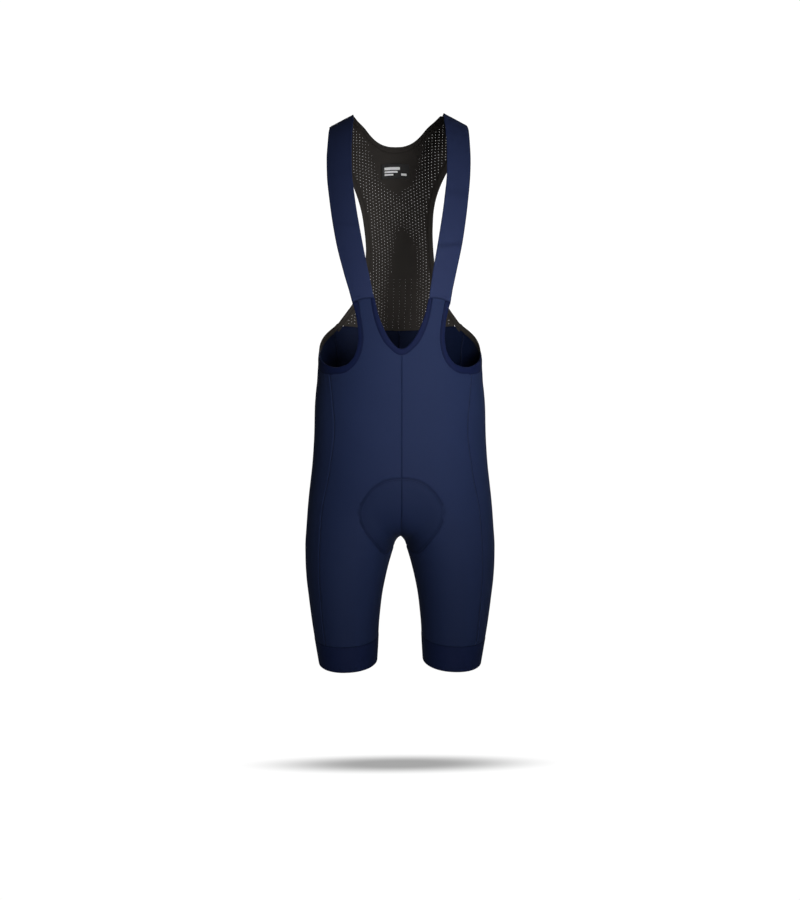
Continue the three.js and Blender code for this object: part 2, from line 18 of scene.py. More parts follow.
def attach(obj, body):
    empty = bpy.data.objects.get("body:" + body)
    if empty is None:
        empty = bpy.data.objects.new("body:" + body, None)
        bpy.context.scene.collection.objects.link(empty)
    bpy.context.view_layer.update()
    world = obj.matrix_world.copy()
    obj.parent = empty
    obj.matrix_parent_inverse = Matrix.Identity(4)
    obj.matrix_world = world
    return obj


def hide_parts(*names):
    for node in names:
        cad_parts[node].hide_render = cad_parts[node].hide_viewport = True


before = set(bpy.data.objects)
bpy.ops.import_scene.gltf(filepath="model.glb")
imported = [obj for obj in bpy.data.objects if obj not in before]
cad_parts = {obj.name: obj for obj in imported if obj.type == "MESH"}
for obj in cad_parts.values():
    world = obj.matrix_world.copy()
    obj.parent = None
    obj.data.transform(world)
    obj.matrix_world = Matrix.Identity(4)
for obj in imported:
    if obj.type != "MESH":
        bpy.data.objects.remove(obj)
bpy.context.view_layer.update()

MM = 0.001
Array = np.ndarray
log = logging.getLogger("bib shorts")


class Side(Enum):
    """Which of a pair a piece is, as worn."""

    LEFT = "left"
    RIGHT = "right"


class Slot(Enum):
    """Finishes named in the part's record."""

    NAVY_KNIT = "navy_knit"
    NAVY_BINDING = "navy_binding"
    BLACK_KNIT = "black_knit"
    LABEL_GREY = "label_grey"
    PAD_CLOTH = "pad_cloth"


# ---- Curves ----


def mix(a: Array | float, b: Array | float, t: Array | float) -> Array:
    """Value a share t of the way from a to b."""
    return a + (b - a) * np.asarray(t, float)


def ease(t: Array | float) -> Array:
    """Step from 0 to 1 that starts and ends level: 3t^2 - 2t^3."""
    c = np.clip(t, 0.0, 1.0)
    return c * c * (3.0 - 2.0 * c)


def bell(distance: Array, width: float) -> Array:
    """Soft bump of height 1: e to the minus (distance / width) squared."""
    return np.exp(-((distance / width) ** 2))


def plateau(distance: Array, start: float, end: float, soft: float) -> Array:
    """Level 1 between start and end, with soft shoulders outside them."""
    return ease((distance - start + soft) / soft) * (1.0 - ease((distance - end) / soft))


def signed_power(value: Array, exponent: float) -> Array:
    """Power of the size of a value, with its sign kept."""
    return np.sign(value) * np.abs(value) ** exponent


def root_drop(z: Array | float) -> Array:
    """Root of the drop below the shoulder line."""
    return np.sqrt(np.maximum(-np.asarray(z, float), 0.0))


class Curve:
    """Smooth curve through a table's rows that never overshoots them.

    It is a cubic in each interval, whose end slopes are the harmonic means of the neighbouring slopes.
    """

    def __init__(self, xs: Sequence[float], ys: Sequence[float]) -> None:
        """Work out the slopes.

        Args:
            xs: Where each row stands, rising or falling.
            ys: The value of each row.
        """
        order = np.argsort(xs)
        self.x = np.asarray(xs, float)[order]
        self.y = np.asarray(ys, float)[order]
        slope = np.diff(self.y) / np.diff(self.x)
        before, after = slope[:-1], slope[1:]
        same = before * after > 0
        inner = np.where(same, 2 * before * after / np.where(same, before + after, 1.0), 0.0)
        self.tangent = np.concatenate([slope[:1], inner, slope[-1:]])

    def __call__(self, at: Array | float) -> Array:
        """Value at a place, held level beyond the table's ends."""
        p = np.clip(np.asarray(at, float), self.x[0], self.x[-1])
        i = np.clip(np.searchsorted(self.x, p, side="left") - 1, 0, len(self.x) - 2)
        step = self.x[i + 1] - self.x[i]
        t = (p - self.x[i]) / step
        rise = self.y[i + 1] - self.y[i]
        a = self.tangent[i] * step - rise
        b = rise - self.tangent[i + 1] * step
        return self.y[i] + t * rise + t * (1 - t) * ((1 - t) * a + t * b)


class Spline:
    """Smooth curve through values at even steps from 0 to 1 (Catmull-Rom)."""

    def __init__(self, values: Sequence[float]) -> None:
        """Keep the values, with one more beyond each end in line with the last two."""
        v = np.asarray(values, float)
        self.points = np.concatenate([[2 * v[0] - v[1]], v, [2 * v[-1] - v[-2]]])

    def __call__(self, t: Array | float) -> Array:
        """Value at a share t of the length."""
        n = len(self.points) - 3
        k = np.clip(np.asarray(t, float), 0.0, 1.0) * n
        i = np.minimum(np.floor(k).astype(int), n - 1)
        a, b, c, d = (self.points[i + j] for j in range(4))
        f = k - i
        return 0.5 * (2 * b + (c - a) * f + (2 * a - 5 * b + 4 * c - d) * f**2 + (3 * (b - c) + d - a) * f**3)


def fine_ends(count: int, gather: float = 0.86) -> Array:
    """Shares from 0 to 1 that lie closer near both ends: t - gather * sin(2 pi t) / (2 pi)."""
    t = np.linspace(0.0, 1.0, count)
    return t - gather * np.sin(2 * np.pi * t) / (2 * np.pi)


# ---- The worn form ----


@dataclass
class Form:
    """The worn shape that every panel lies on."""

    crotch: float = -712.0
    rise: float = 64.0
    fullness: float = 0.65
    cuff_seam: float = -894.5
    hem: float = -939.5
    hem_inner: float = 2.3
    hem_back: float = 6.0
    body_power: float = 2.3
    leg_power: float = 2.15
    shoulder_x: float = 76.0
    shoulder_height: float = 10.7
    shoulder_slope: float = 0.55
    shoulder_rounding: float = 40.0
    shoulder_fades: float = 160.0
    body_z: tuple[float, ...] = (
        0, -4, -16, -36, -64, -100, -150, -216, -300, -350, -381, -394, -408, -436, -464, -491, -533,
        -561, -590, -618, -646, -674, -702, -731, -760, -940)
    body_half: tuple[float, ...] = (
        150, 150, 150, 150, 151, 152, 152, 152, 149, 146, 142, 140.5, 141.7, 143.7, 146.4, 148.4, 149.5,
        151, 153.3, 156.5, 159.8, 162.6, 164.5, 166.4, 166.2, 143)
    body_front: tuple[float, ...] = (
        0, 28, 50, 69, 84, 96, 106, 112, 112, 110, 108, 107, 106, 104, 103, 102.5, 102.5,
        103, 104, 104, 102, 98, 95, 91, 88, 64)
    body_back: tuple[float, ...] = (
        0, 26, 48, 66, 81, 93, 101, 103, 97, 91, 87.5, 86, 84.5, 83, 83, 84, 88,
        94, 102, 110, 116, 117, 112, 105, 98, 68)
    leg_z: tuple[float, ...] = (-648, -712, -714.5, -720, -734, -760, -790, -820, -850, -876, -905, -945)
    leg_inner: tuple[float, ...] = (0, 0, 5, 8.5, 11, 18.4, 25.7, 31.4, 35, 37.3, 38.6, 41)
    leg_outer: tuple[float, ...] = (
        159.4, 165.2, 165.4, 165.8, 166.4, 166.2, 164.6, 161.3, 157.7, 154.2, 149.6, 143)
    leg_front: tuple[float, ...] = (102, 94, 93.6, 93, 91, 87, 83, 79, 75, 72, 69, 65)
    leg_back: tuple[float, ...] = (114, 106, 105.6, 105, 102, 97, 91, 86, 81, 77, 73, 68)
    side_seam_z: tuple[float, ...] = (-430, -470, -520, -600, -675, -760, -841, -894.5)
    side_seam_x: tuple[float, ...] = (120.5, 116.5, 113, 122, 136, 140, 136, 130)
    dip_reach: float = 0.22  # how far from the middle line the rounding under the body runs
    side_low: float = -770.0  # at the side, leg and body are mixed from here up
    side_rise: float = 150.0
    girth: float = 410.0  # half round the hips, which turns a share of u into millimetres

    def __post_init__(self) -> None:
        """Make the smooth curves of the tables."""
        drop = root_drop(self.body_z)
        self.half = Curve(self.body_z, self.body_half)
        self.front_depth = Curve(drop, self.body_front)
        self.back_depth = Curve(drop, self.body_back)
        self.inner = Curve(self.leg_z, self.leg_inner)
        self.outer = Curve(self.leg_z, self.leg_outer)
        self.leg_front_depth = Curve(self.leg_z, self.leg_front)
        self.leg_back_depth = Curve(self.leg_z, self.leg_back)
        self.seam_x = Curve(self.side_seam_z, self.side_seam_x)

    def body(self, u: Array, z: Array) -> Array:
        """Point on the body: x and y follow an ellipse of power 2.3, and the shoulders fall outwards."""
        crowd = mix(1.15, 1.7, ease((-480 - z) / 120))
        quarter = (np.pi / 2) * (2 * np.maximum(np.minimum(u, 1 - u), 0)) ** crowd
        angle = np.where(u <= 0.5, quarter, np.pi - quarter)
        x = self.half(z) * signed_power(np.sin(angle), 2 / self.body_power)
        depth = np.where(u <= 0.5, self.front_depth(root_drop(z)), self.back_depth(root_drop(z)))
        y = -depth * signed_power(np.cos(angle), 2 / self.body_power)
        fade = 1 - ease(-z / self.shoulder_fades)
        beyond = np.hypot(x, self.shoulder_rounding) - math.hypot(self.shoulder_x, self.shoulder_rounding)
        lift = self.shoulder_height - self.shoulder_slope * beyond
        return np.stack([x, y, z + lift * fade], axis=-1)

    def leg(self, u: Array, z: Array) -> Array:
        """Point on a leg: an ellipse of power 2.15 between its inner and outer side."""
        angle = 2 * np.pi * u
        middle = (self.inner(z) + self.outer(z)) / 2
        half = (self.outer(z) - self.inner(z)) / 2
        depth = np.where(u <= 0.5, self.leg_front_depth(z), self.leg_back_depth(z))
        x = middle - half * signed_power(np.cos(angle), 2 / self.leg_power)
        y = -depth * signed_power(np.sin(angle), 2 / self.leg_power)
        return np.stack([x, y, z], axis=-1)

    def at(self, u: Array, z: Array) -> Array:
        """Point of the left half: leg and body mixed, the middle line rounding under the body.

        Args:
            u: Place round, 0 at the front's middle or the inside of the leg, 1 at the back's.
            z: Height at the side.

        Returns:
            Points with a last axis of x, y and z.
        """
        u, z = np.broadcast_arrays(np.asarray(u, float), np.asarray(z, float))
        k = np.clip((z - self.crotch) / self.rise, 0, 1)
        turn = k * np.pi / 2
        from_middle = np.minimum(u, 1 - u)
        inward = 1 - ease(from_middle / self.dip_reach)
        dip = np.where((k > 0) & (k < 1), self.rise * (1 - np.cos(turn) - k), 0.0)
        low = ease((self.crotch - z) / (self.crotch - self.cuff_seam))
        tilt = self.hem_inner * np.cos(2 * np.pi * u) - self.hem_back * np.sin(2 * np.pi * u)
        height = z + dip * inward + tilt * low
        near_middle = np.sin(turn) ** self.fullness
        at_side = ease((z - self.side_low) / self.side_rise)
        share = mix(near_middle, at_side, ease((from_middle - 0.06) / 0.2))[..., None]
        return mix(self.leg(u, height), self.body(u, height), np.clip(share, 0, 1))

    def outward(self, u: Array, z: Array) -> Array:
        """Unit direction out of the surface: the cross product of its slopes round and up."""
        u, z = np.broadcast_arrays(np.asarray(u, float), np.asarray(z, float))
        around = self.at(np.minimum(u + 0.002, 1), z) - self.at(np.maximum(u - 0.002, 0), z)
        along = self.at(u, np.minimum(z + 0.5, 0)) - self.at(u, z - 0.5)
        n = np.cross(around, along)
        middle = (self.at(u, z)[..., 0] < 0.5) & (z >= self.crotch)
        n[..., 0] = np.where(middle, 0.0, n[..., 0])
        return n / np.linalg.norm(n, axis=-1, keepdims=True)

    def place_at(self, x: Array | float, z: Array | float, back: bool = False) -> Array:
        """Place round the front, or the back, that lies x from the middle, found by halving."""
        x, z = np.broadcast_arrays(np.asarray(x, float), np.asarray(z, float))
        low, high = np.zeros(x.shape), np.full(x.shape, 0.5)
        for _ in range(36):
            mid = (low + high) / 2
            short = self.at(1 - mid if back else mid, z)[..., 0] < x
            low, high = np.where(short, mid, low), np.where(short, high, mid)
        return 1 - low if back else low

    def front_seam(self, z: Array | float) -> Array:
        """Place of the seam between front and side panel."""
        return self.place_at(self.seam_x(z), z)

    def rear_seam(self, z: Array | float) -> Array:
        """Place of the seam between side and back panel."""
        return 1.02 - self.front_seam(z)


@dataclass
class Patch:
    """Grid of places on the form: rows go up, columns go round."""

    u: Array
    z: Array
    at: Array
    out: Array

    @classmethod
    def on(cls, form: Form, u: Array, z: Array) -> "Patch":
        """Patch on the left half of the form."""
        u, z = np.broadcast_arrays(np.asarray(u, float), np.asarray(z, float))
        return cls(u, z, form.at(u, z), form.outward(u, z))

    def mirrored(self) -> "Patch":
        """The same patch on the right half."""
        flip = np.array([-1.0, 1.0, 1.0])
        return Patch(self.u, self.z, self.at * flip, self.out * flip)

    def on_side(self, side: Side) -> "Patch":
        """The patch on the named side."""
        return self if side is Side.LEFT else self.mirrored()

    def across(self) -> Array:
        """Distance along each row from its first place."""
        steps = np.linalg.norm(np.diff(self.at, axis=1), axis=-1)
        return np.concatenate([np.zeros((len(steps), 1)), np.cumsum(steps, axis=1)], axis=1)

    def along(self) -> Array:
        """Distance up each column from its first place."""
        steps = np.linalg.norm(np.diff(self.at, axis=0), axis=-1)
        return np.concatenate([np.zeros((1, steps.shape[1])), np.cumsum(steps, axis=0)], axis=0)

    def own_normals(self) -> "Patch":
        """The patch with its outward directions worked out from its own grid."""
        n = np.cross(np.gradient(self.at, axis=1), np.gradient(self.at, axis=0))
        n /= np.maximum(np.linalg.norm(n, axis=-1, keepdims=True), 1e-9)
        n *= np.sign(np.sum(n * self.out)) or 1.0
        return Patch(self.u, self.z, self.at, n)

    def eased_rows(self, low: float, high: float, rounds: int = 40) -> "Patch":
        """The patch with its rows between two heights evened out, away from its first and last column.

        Each round moves a point a quarter of the way to the mean of the points above and below it.
        """
        at, out = self.at.copy(), self.out.copy()
        across = self.across()
        weight = ease((self.z - low) / 15) * ease((high - self.z) / 15)
        weight *= ease(across / 12) * ease((across[:, -1:] - across) / 20)
        for _ in range(rounds):
            for values in (at, out):
                values[1:-1] += 0.5 * weight[1:-1, :, None] * ((values[:-2] + values[2:]) / 2 - values[1:-1])
        return Patch(self.u, self.z, at, out / np.linalg.norm(out, axis=-1, keepdims=True))

    def joined_with_mirror(self) -> "Patch":
        """One patch of both halves, whose first row lies on the middle line."""
        other = self.mirrored()
        parts = zip((other.u, other.z, other.at, other.out), (self.u, self.z, self.at, self.out))
        return Patch(*(np.concatenate([m[:0:-1], s]) for m, s in parts))


@dataclass
class Sway:
    """How the upper back hangs a little to one side, as it does when worn."""

    height: tuple[float, ...] = (-342, -300, -230, -170, -110, -60, 12)
    shift: tuple[float, ...] = (0, 1.6, 2.4, -0.6, -4.2, -6.0, -6.0)

    def __post_init__(self) -> None:
        """Make the curve."""
        self.curve = Curve(self.height, self.shift)

    def moved(self, at: Array) -> Array:
        """Points moved across by their height's shift, which fades out towards the left strap."""
        moved = at.copy()
        moved[..., 0] += self.curve(at[..., 2]) * (1 - ease((at[..., 0] - 50) / 60))
        return moved

    def on(self, patch: Patch) -> Patch:
        """The patch with its points moved."""
        return Patch(patch.u, patch.z, self.moved(patch.at), patch.out)


@dataclass(frozen=True)
class Crease:
    """Soft trough in the cloth: its middle, its slant in degrees, and its half length, width and depth."""

    u: float
    z: float
    slant: float
    length: float
    width: float
    depth: float
    bend: float = 0.0

    def relief(self, form: Form, u: Array, z: Array) -> Array:
        """How far the cloth moves out: minus depth times a bell across times a bell along."""
        right, up = (u - self.u) * form.girth, z - self.z
        c, s = math.cos(math.radians(self.slant)), math.sin(math.radians(self.slant))
        along, across = right * c + up * s, up * c - right * s
        across = across + self.bend * along**2 / self.length
        return -self.depth * bell(across, self.width) * bell(along, self.length)


# ---- Meshes ----


def build_object(name: str, vertices: Array, triangles: Array, uv: Array,
                 marks: dict[str, Array]) -> bpy.types.Object:
    """Put arrays into a smooth-shaded mesh object.

    Args:
        name: The piece's name.
        vertices: Points in millimetres.
        triangles: Vertex numbers, three a face, facing outwards.
        uv: Cloth coordinates in metres for each corner of each face.
        marks: Values by vertex that finishes read, by attribute name.

    Returns:
        The new object, linked to the scene.
    """
    mesh = bpy.data.meshes.new(name)
    mesh.from_pydata(vertices * MM, [], triangles)
    mesh.polygons.foreach_set("use_smooth", np.ones(len(triangles), bool))
    layer = mesh.uv_layers.new(name="Cloth")
    layer.data.foreach_set("uv", np.ascontiguousarray(uv, dtype=np.float32).ravel())
    for key, values in marks.items():
        attribute = mesh.attributes.new(key, "FLOAT", "POINT")
        attribute.data.foreach_set("value", np.ascontiguousarray(values, dtype=np.float32).ravel())
    mesh.update()
    piece = bpy.data.objects.new(name, mesh)
    bpy.context.scene.collection.objects.link(piece)
    return piece


def grid_net(index: Array) -> Array:
    """Two triangles for each square of a grid of point numbers."""
    a, b, c, d = index[:-1, :-1], index[:-1, 1:], index[1:, 1:], index[1:, :-1]
    return np.concatenate([np.stack(t, -1).reshape(-1, 3) for t in ((a, b, c), (a, c, d))])


def edge_wall(p: Array, q: Array, count: int) -> Array:
    """Two triangles for each edge from p to q, down to the face whose points are numbered count higher."""
    return np.concatenate([np.stack([p, p + count, q + count], -1), np.stack([p, q + count, q], -1)])


def shell(name: str, patch: Patch, outer: Array, inner: Array, marks: dict[str, Array] | None = None,
          closed: bool = False) -> bpy.types.Object:
    """Closed wall over a patch: its outer and inner face, joined round the border.

    A face's point is the patch's point plus its outward direction times the face's offset. Points that
    fall together are merged, so faces that meet at the border close without a wall.

    Args:
        name: The piece's name.
        patch: Where the wall lies.
        outer: Offset of the outer face, for each place.
        inner: Offset of the inner face, for each place.
        marks: Values by place that finishes read.
        closed: Whether the first and last column are the same line.

    Returns:
        The piece.
    """
    rows, columns = patch.u.shape
    out = patch.out.copy()
    if closed:
        out[:, 0] = out[:, -1] = out[:, 0] + out[:, -1]
        out /= np.linalg.norm(out, axis=-1, keepdims=True)
    outer, inner = np.broadcast_to(outer, (rows, columns)), np.broadcast_to(inner, (rows, columns))
    faces = [patch.at + out * offset[..., None] for offset in (outer, inner)]
    points = np.concatenate([f.reshape(-1, 3) for f in faces])
    index = np.arange(rows * columns).reshape(rows, columns)
    upper = grid_net(index)
    edges = [(index[0, :-1], index[0, 1:]), (index[-1, 1:], index[-1, :-1])]
    if not closed:
        edges += [(index[:-1, -1], index[1:, -1]), (index[1:, 0], index[:-1, 0])]
    p, q = (np.concatenate(side) for side in zip(*edges))
    count = rows * columns
    triangles = np.concatenate([upper, upper[:, ::-1] + count, edge_wall(p, q, count)])
    corner = points[upper]
    facing = np.cross(corner[:, 1] - corner[:, 0], corner[:, 2] - corner[:, 0])
    if np.sum(facing * out.reshape(-1, 3)[upper[:, 0]]) < 0:
        triangles = triangles[:, ::-1]
    cloth = np.stack([patch.across(), patch.along()], -1).reshape(-1, 2)
    cloth = np.concatenate([cloth, cloth]) * MM
    values = {k: np.concatenate([np.ravel(v), np.ravel(v)]) for k, v in (marks or {}).items()}
    # marks the inner face, which the finishes darken as painted shade
    values["inside"] = np.repeat([0.0, 1.0], count)
    return merged_object(name, points, triangles, cloth, values)


def merged_object(name: str, points: Array, triangles: Array, cloth: Array,
                  marks: dict[str, Array]) -> bpy.types.Object:
    """Merge points that fall together, drop faces that vanish, and build the object.

    Args:
        name: The piece's name.
        points: Points in millimetres.
        triangles: Vertex numbers, three a face.
        cloth: Cloth coordinates in metres by point.
        marks: Values by point.

    Returns:
        The piece.
    """
    _, first, number = np.unique(np.round(points, 4), axis=0, return_index=True, return_inverse=True)
    number = number.reshape(-1)
    merged = number[triangles]
    whole = (merged[:, 0] != merged[:, 1]) & (merged[:, 1] != merged[:, 2]) & (merged[:, 2] != merged[:, 0])
    uv = cloth[triangles[whole]].reshape(-1, 2)
    return build_object(name, points[first], merged[whole], uv, {k: v[first] for k, v in marks.items()})


def closed_sheet(name: str, at: Array, out: Array, faces: Sequence[Array], triangles: Array,
                 cloth: Array, marks: dict[str, Array] | None = None) -> bpy.types.Object:
    """Closed wall over any net of triangles, with a wall along every edge that only one of them has.

    Args:
        name: The piece's name.
        at: Points in millimetres; those that fall together are merged.
        out: Outward direction at each point.
        faces: Offsets of the outer and the inner face at each point.
        triangles: Point numbers, three a face.
        cloth: Cloth coordinates in metres.
        marks: Values by point that finishes read.

    Returns:
        The piece.
    """
    _, first, number = np.unique(np.round(at, 2), axis=0, return_index=True, return_inverse=True)
    triangles = number.reshape(-1)[triangles]
    at, out, cloth = at[first], out[first], cloth[first]
    corner = at[triangles]
    facing = np.cross(corner[:, 1] - corner[:, 0], corner[:, 2] - corner[:, 0])
    whole = np.linalg.norm(facing, axis=1) > 1e-3
    triangles, facing = triangles[whole], facing[whole]
    turned = np.sum(facing * out[triangles[:, 0]], axis=1) < 0
    triangles[turned] = triangles[turned][:, ::-1]
    total = len(at)
    edges = np.concatenate([triangles[:, [0, 1]], triangles[:, [1, 2]], triangles[:, [2, 0]]]).astype(np.int64)
    forth, back = edges[:, 0] * total + edges[:, 1], edges[:, 1] * total + edges[:, 0]
    p, q = edges[~np.isin(forth, back)].T
    triangles = np.concatenate([triangles, triangles[:, ::-1] + total, edge_wall(p, q, total)])
    points = np.concatenate([at + out * face[first][:, None] for face in faces])
    values = {key: np.tile(np.ravel(value)[first], 2) for key, value in (marks or {}).items()}
    return build_object(name, points, triangles, np.tile(cloth, (2, 1))[triangles].reshape(-1, 2), values)


def rounded(across: Array, total: Array, radius: float) -> Array:
    """Height of a rounded edge: 1 away from both edges, falling to 0 at them in a quarter circle."""
    near = np.clip(np.minimum(across, total - across) / radius, 0, 1)
    return np.sqrt(1 - (1 - near) ** 2)


# ---- Finishes ----


@dataclass(frozen=True)
class ClothFinish:
    """Matt stretch cloth: a colour that varies a little, fine ribs, and a soft sheen."""

    name: str
    colour: tuple[float, float, float]
    dark: tuple[float, float, float]
    rib: float = 0.0011  # from one rib of the knit to the next, in metres
    rib_depth: float = 0.00006
    course: float = 0.0008
    roughness: float = 0.66
    sheen: float = 0.03
    sheen_tint: tuple[float, float, float] = (0.62, 0.70, 1.0)
    specular: float = 0.07
    mottle: float = 0.12
    inside: float = 0.0  # how far the inner face takes the dark colour: painted shade inside the garment

    def material(self) -> bpy.types.Material:
        """Node material of the finish.

        Returns:
            A material that reads the Cloth coordinates and the marks stitch, shade and inside; shade and inside
            paint shade into its colour.
        """
        material = bpy.data.materials.new(self.name)
        material.use_nodes = True
        nodes, links = material.node_tree.nodes, material.node_tree.links
        shader = nodes["Principled BSDF"]
        shader.inputs["Roughness"].default_value = self.roughness
        shader.inputs["Specular IOR Level"].default_value = self.specular
        shader.inputs["Sheen Weight"].default_value = self.sheen
        shader.inputs["Sheen Roughness"].default_value = 0.45
        shader.inputs["Sheen Tint"].default_value = (*self.sheen_tint, 1)
        cloth = nodes.new("ShaderNodeUVMap")
        cloth.uv_map = "Cloth"
        split = nodes.new("ShaderNodeSeparateXYZ")
        links.new(cloth.outputs["UV"], split.inputs[0])

        def maths(operation: str, *values: object) -> bpy.types.NodeSocket:
            """Math node on numbers and sockets."""
            node = nodes.new("ShaderNodeMath")
            node.operation = operation
            for socket, value in zip(node.inputs, values):
                if isinstance(value, bpy.types.NodeSocket):
                    links.new(value, socket)
                else:
                    socket.default_value = value
            return node.outputs[0]

        def mark(key: str) -> bpy.types.NodeSocket:
            """Value of one of the piece's marks."""
            node = nodes.new("ShaderNodeAttribute")
            node.attribute_name = key
            return node.outputs["Fac"]

        ribs = maths("SINE", maths("MULTIPLY", split.outputs[0], 2 * math.pi / self.rib))
        courses = maths("SINE", maths("MULTIPLY", split.outputs[1], 2 * math.pi / self.course))
        loops = maths("MULTIPLY_ADD", courses, 0.35, ribs)
        noise = nodes.new("ShaderNodeTexNoise")
        noise.inputs["Scale"].default_value = 900
        noise.inputs["Detail"].default_value = 2
        cloud = nodes.new("ShaderNodeTexNoise")
        cloud.inputs["Scale"].default_value = 9
        cloud.inputs["Detail"].default_value = 3
        place = nodes.new("ShaderNodeTexCoord")
        for texture in (noise, cloud):
            links.new(place.outputs["Object"], texture.inputs["Vector"])
        height = maths("MULTIPLY_ADD", noise.outputs["Fac"], 0.8, loops)
        bump = nodes.new("ShaderNodeBump")
        bump.inputs["Strength"].default_value = 0.35
        bump.inputs["Distance"].default_value = self.rib_depth
        links.new(height, bump.inputs["Height"])
        links.new(bump.outputs["Normal"], shader.inputs["Normal"])
        speckle = maths("MULTIPLY", maths("SUBTRACT", noise.outputs["Fac"], 0.5), self.mottle * 2)
        drift = maths("MULTIPLY", maths("SUBTRACT", cloud.outputs["Fac"], 0.5), self.mottle * 1.6)
        # painted shade in the furrows between the knit's ribs
        furrow_shade = maths("MULTIPLY", maths("SUBTRACT", 1.0, ribs), 0.06)
        share = maths("ADD", maths("ADD", speckle, drift), furrow_shade)
        share = maths("ADD", share, maths("MULTIPLY", mark("stitch"), 0.75))
        share = maths("ADD", share, maths("MULTIPLY", mark("shade"), 0.5))
        # painted shade on the inner face, where the garment shades its own inside
        share = maths("ADD", share, maths("MULTIPLY", mark("inside"), self.inside))
        blend = nodes.new("ShaderNodeMix")
        blend.data_type = "RGBA"
        blend.clamp_factor = True
        links.new(share, blend.inputs["Factor"])
        blend.inputs["A"].default_value = (*self.colour, 1)
        blend.inputs["B"].default_value = (*self.dark, 1)
        links.new(blend.outputs["Result"], shader.inputs["Base Color"])
        return material


@dataclass
class Wardrobe:
    """The finishes, made once, and how a piece is put on."""

    # the inside values are painted shade on each finish's inner face
    navy: ClothFinish = ClothFinish(
        "navy stretch knit", (0.0150, 0.0245, 0.070), (0.002, 0.005, 0.020), inside=0.85)
    tape: ClothFinish = ClothFinish(
        "navy binding tape", (0.0058, 0.0105, 0.045), (0.002, 0.004, 0.016), rib=0.0016, inside=0.5)
    cuff: ClothFinish = ClothFinish(
        "navy elastic band", (0.0095, 0.0160, 0.056), (0.002, 0.005, 0.018), rib=0.0009, inside=0.6)
    strap: ClothFinish = ClothFinish(
        "navy strap tape", (0.0205, 0.0300, 0.083), (0.002, 0.005, 0.020), rib=0.0009, inside=0.6)
    black: ClothFinish = ClothFinish(
        "black open knit", (0.035, 0.0308, 0.0278), (0.014, 0.0120, 0.0110), rib=0.0013,
        rib_depth=0.0001, sheen=0.04, sheen_tint=(1.0, 0.95, 0.9), roughness=0.75)
    grey: ClothFinish = ClothFinish(
        "charcoal woven label", (0.030, 0.029, 0.029), (0.014, 0.014, 0.014), rib=0.0005,
        course=0.0005, sheen=0.05, sheen_tint=(1.0, 1.0, 1.0), roughness=0.55)
    mark: ClothFinish = ClothFinish(
        "white label thread", (0.88, 0.88, 0.88), (0.60, 0.60, 0.60), rib=0.0005, course=0.0005,
        sheen=0.0, sheen_tint=(1.0, 1.0, 1.0), roughness=0.6)
    pad: ClothFinish = ClothFinish(
        "brushed pad cloth", (0.020, 0.028, 0.060), (0.010, 0.014, 0.032), rib=0.0014,
        rib_depth=0.00012, sheen=0.15, roughness=0.85)
    made: dict[str, bpy.types.Material] = field(default_factory=dict)

    def dress(self, piece: bpy.types.Object, finish: ClothFinish, slot: Slot, nodes: Sequence[str]) -> None:
        """Give a piece its material, hang it from the root, and hide the CAD nodes that it replaces.

        Args:
            piece: The finished piece.
            finish: Its finish.
            slot: The record's slot of the same finish; not used.
            nodes: CAD nodes that the piece replaces.
        """
        if finish.name not in self.made:
            self.made[finish.name] = finish.material()
        piece.data.materials.append(self.made[finish.name])
        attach(piece, "root")
        if nodes:
            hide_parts(*nodes)
        log.info("%s: %d triangles", piece.name, len(piece.data.polygons))


# ---- Seams and creases shared by the navy panels ----


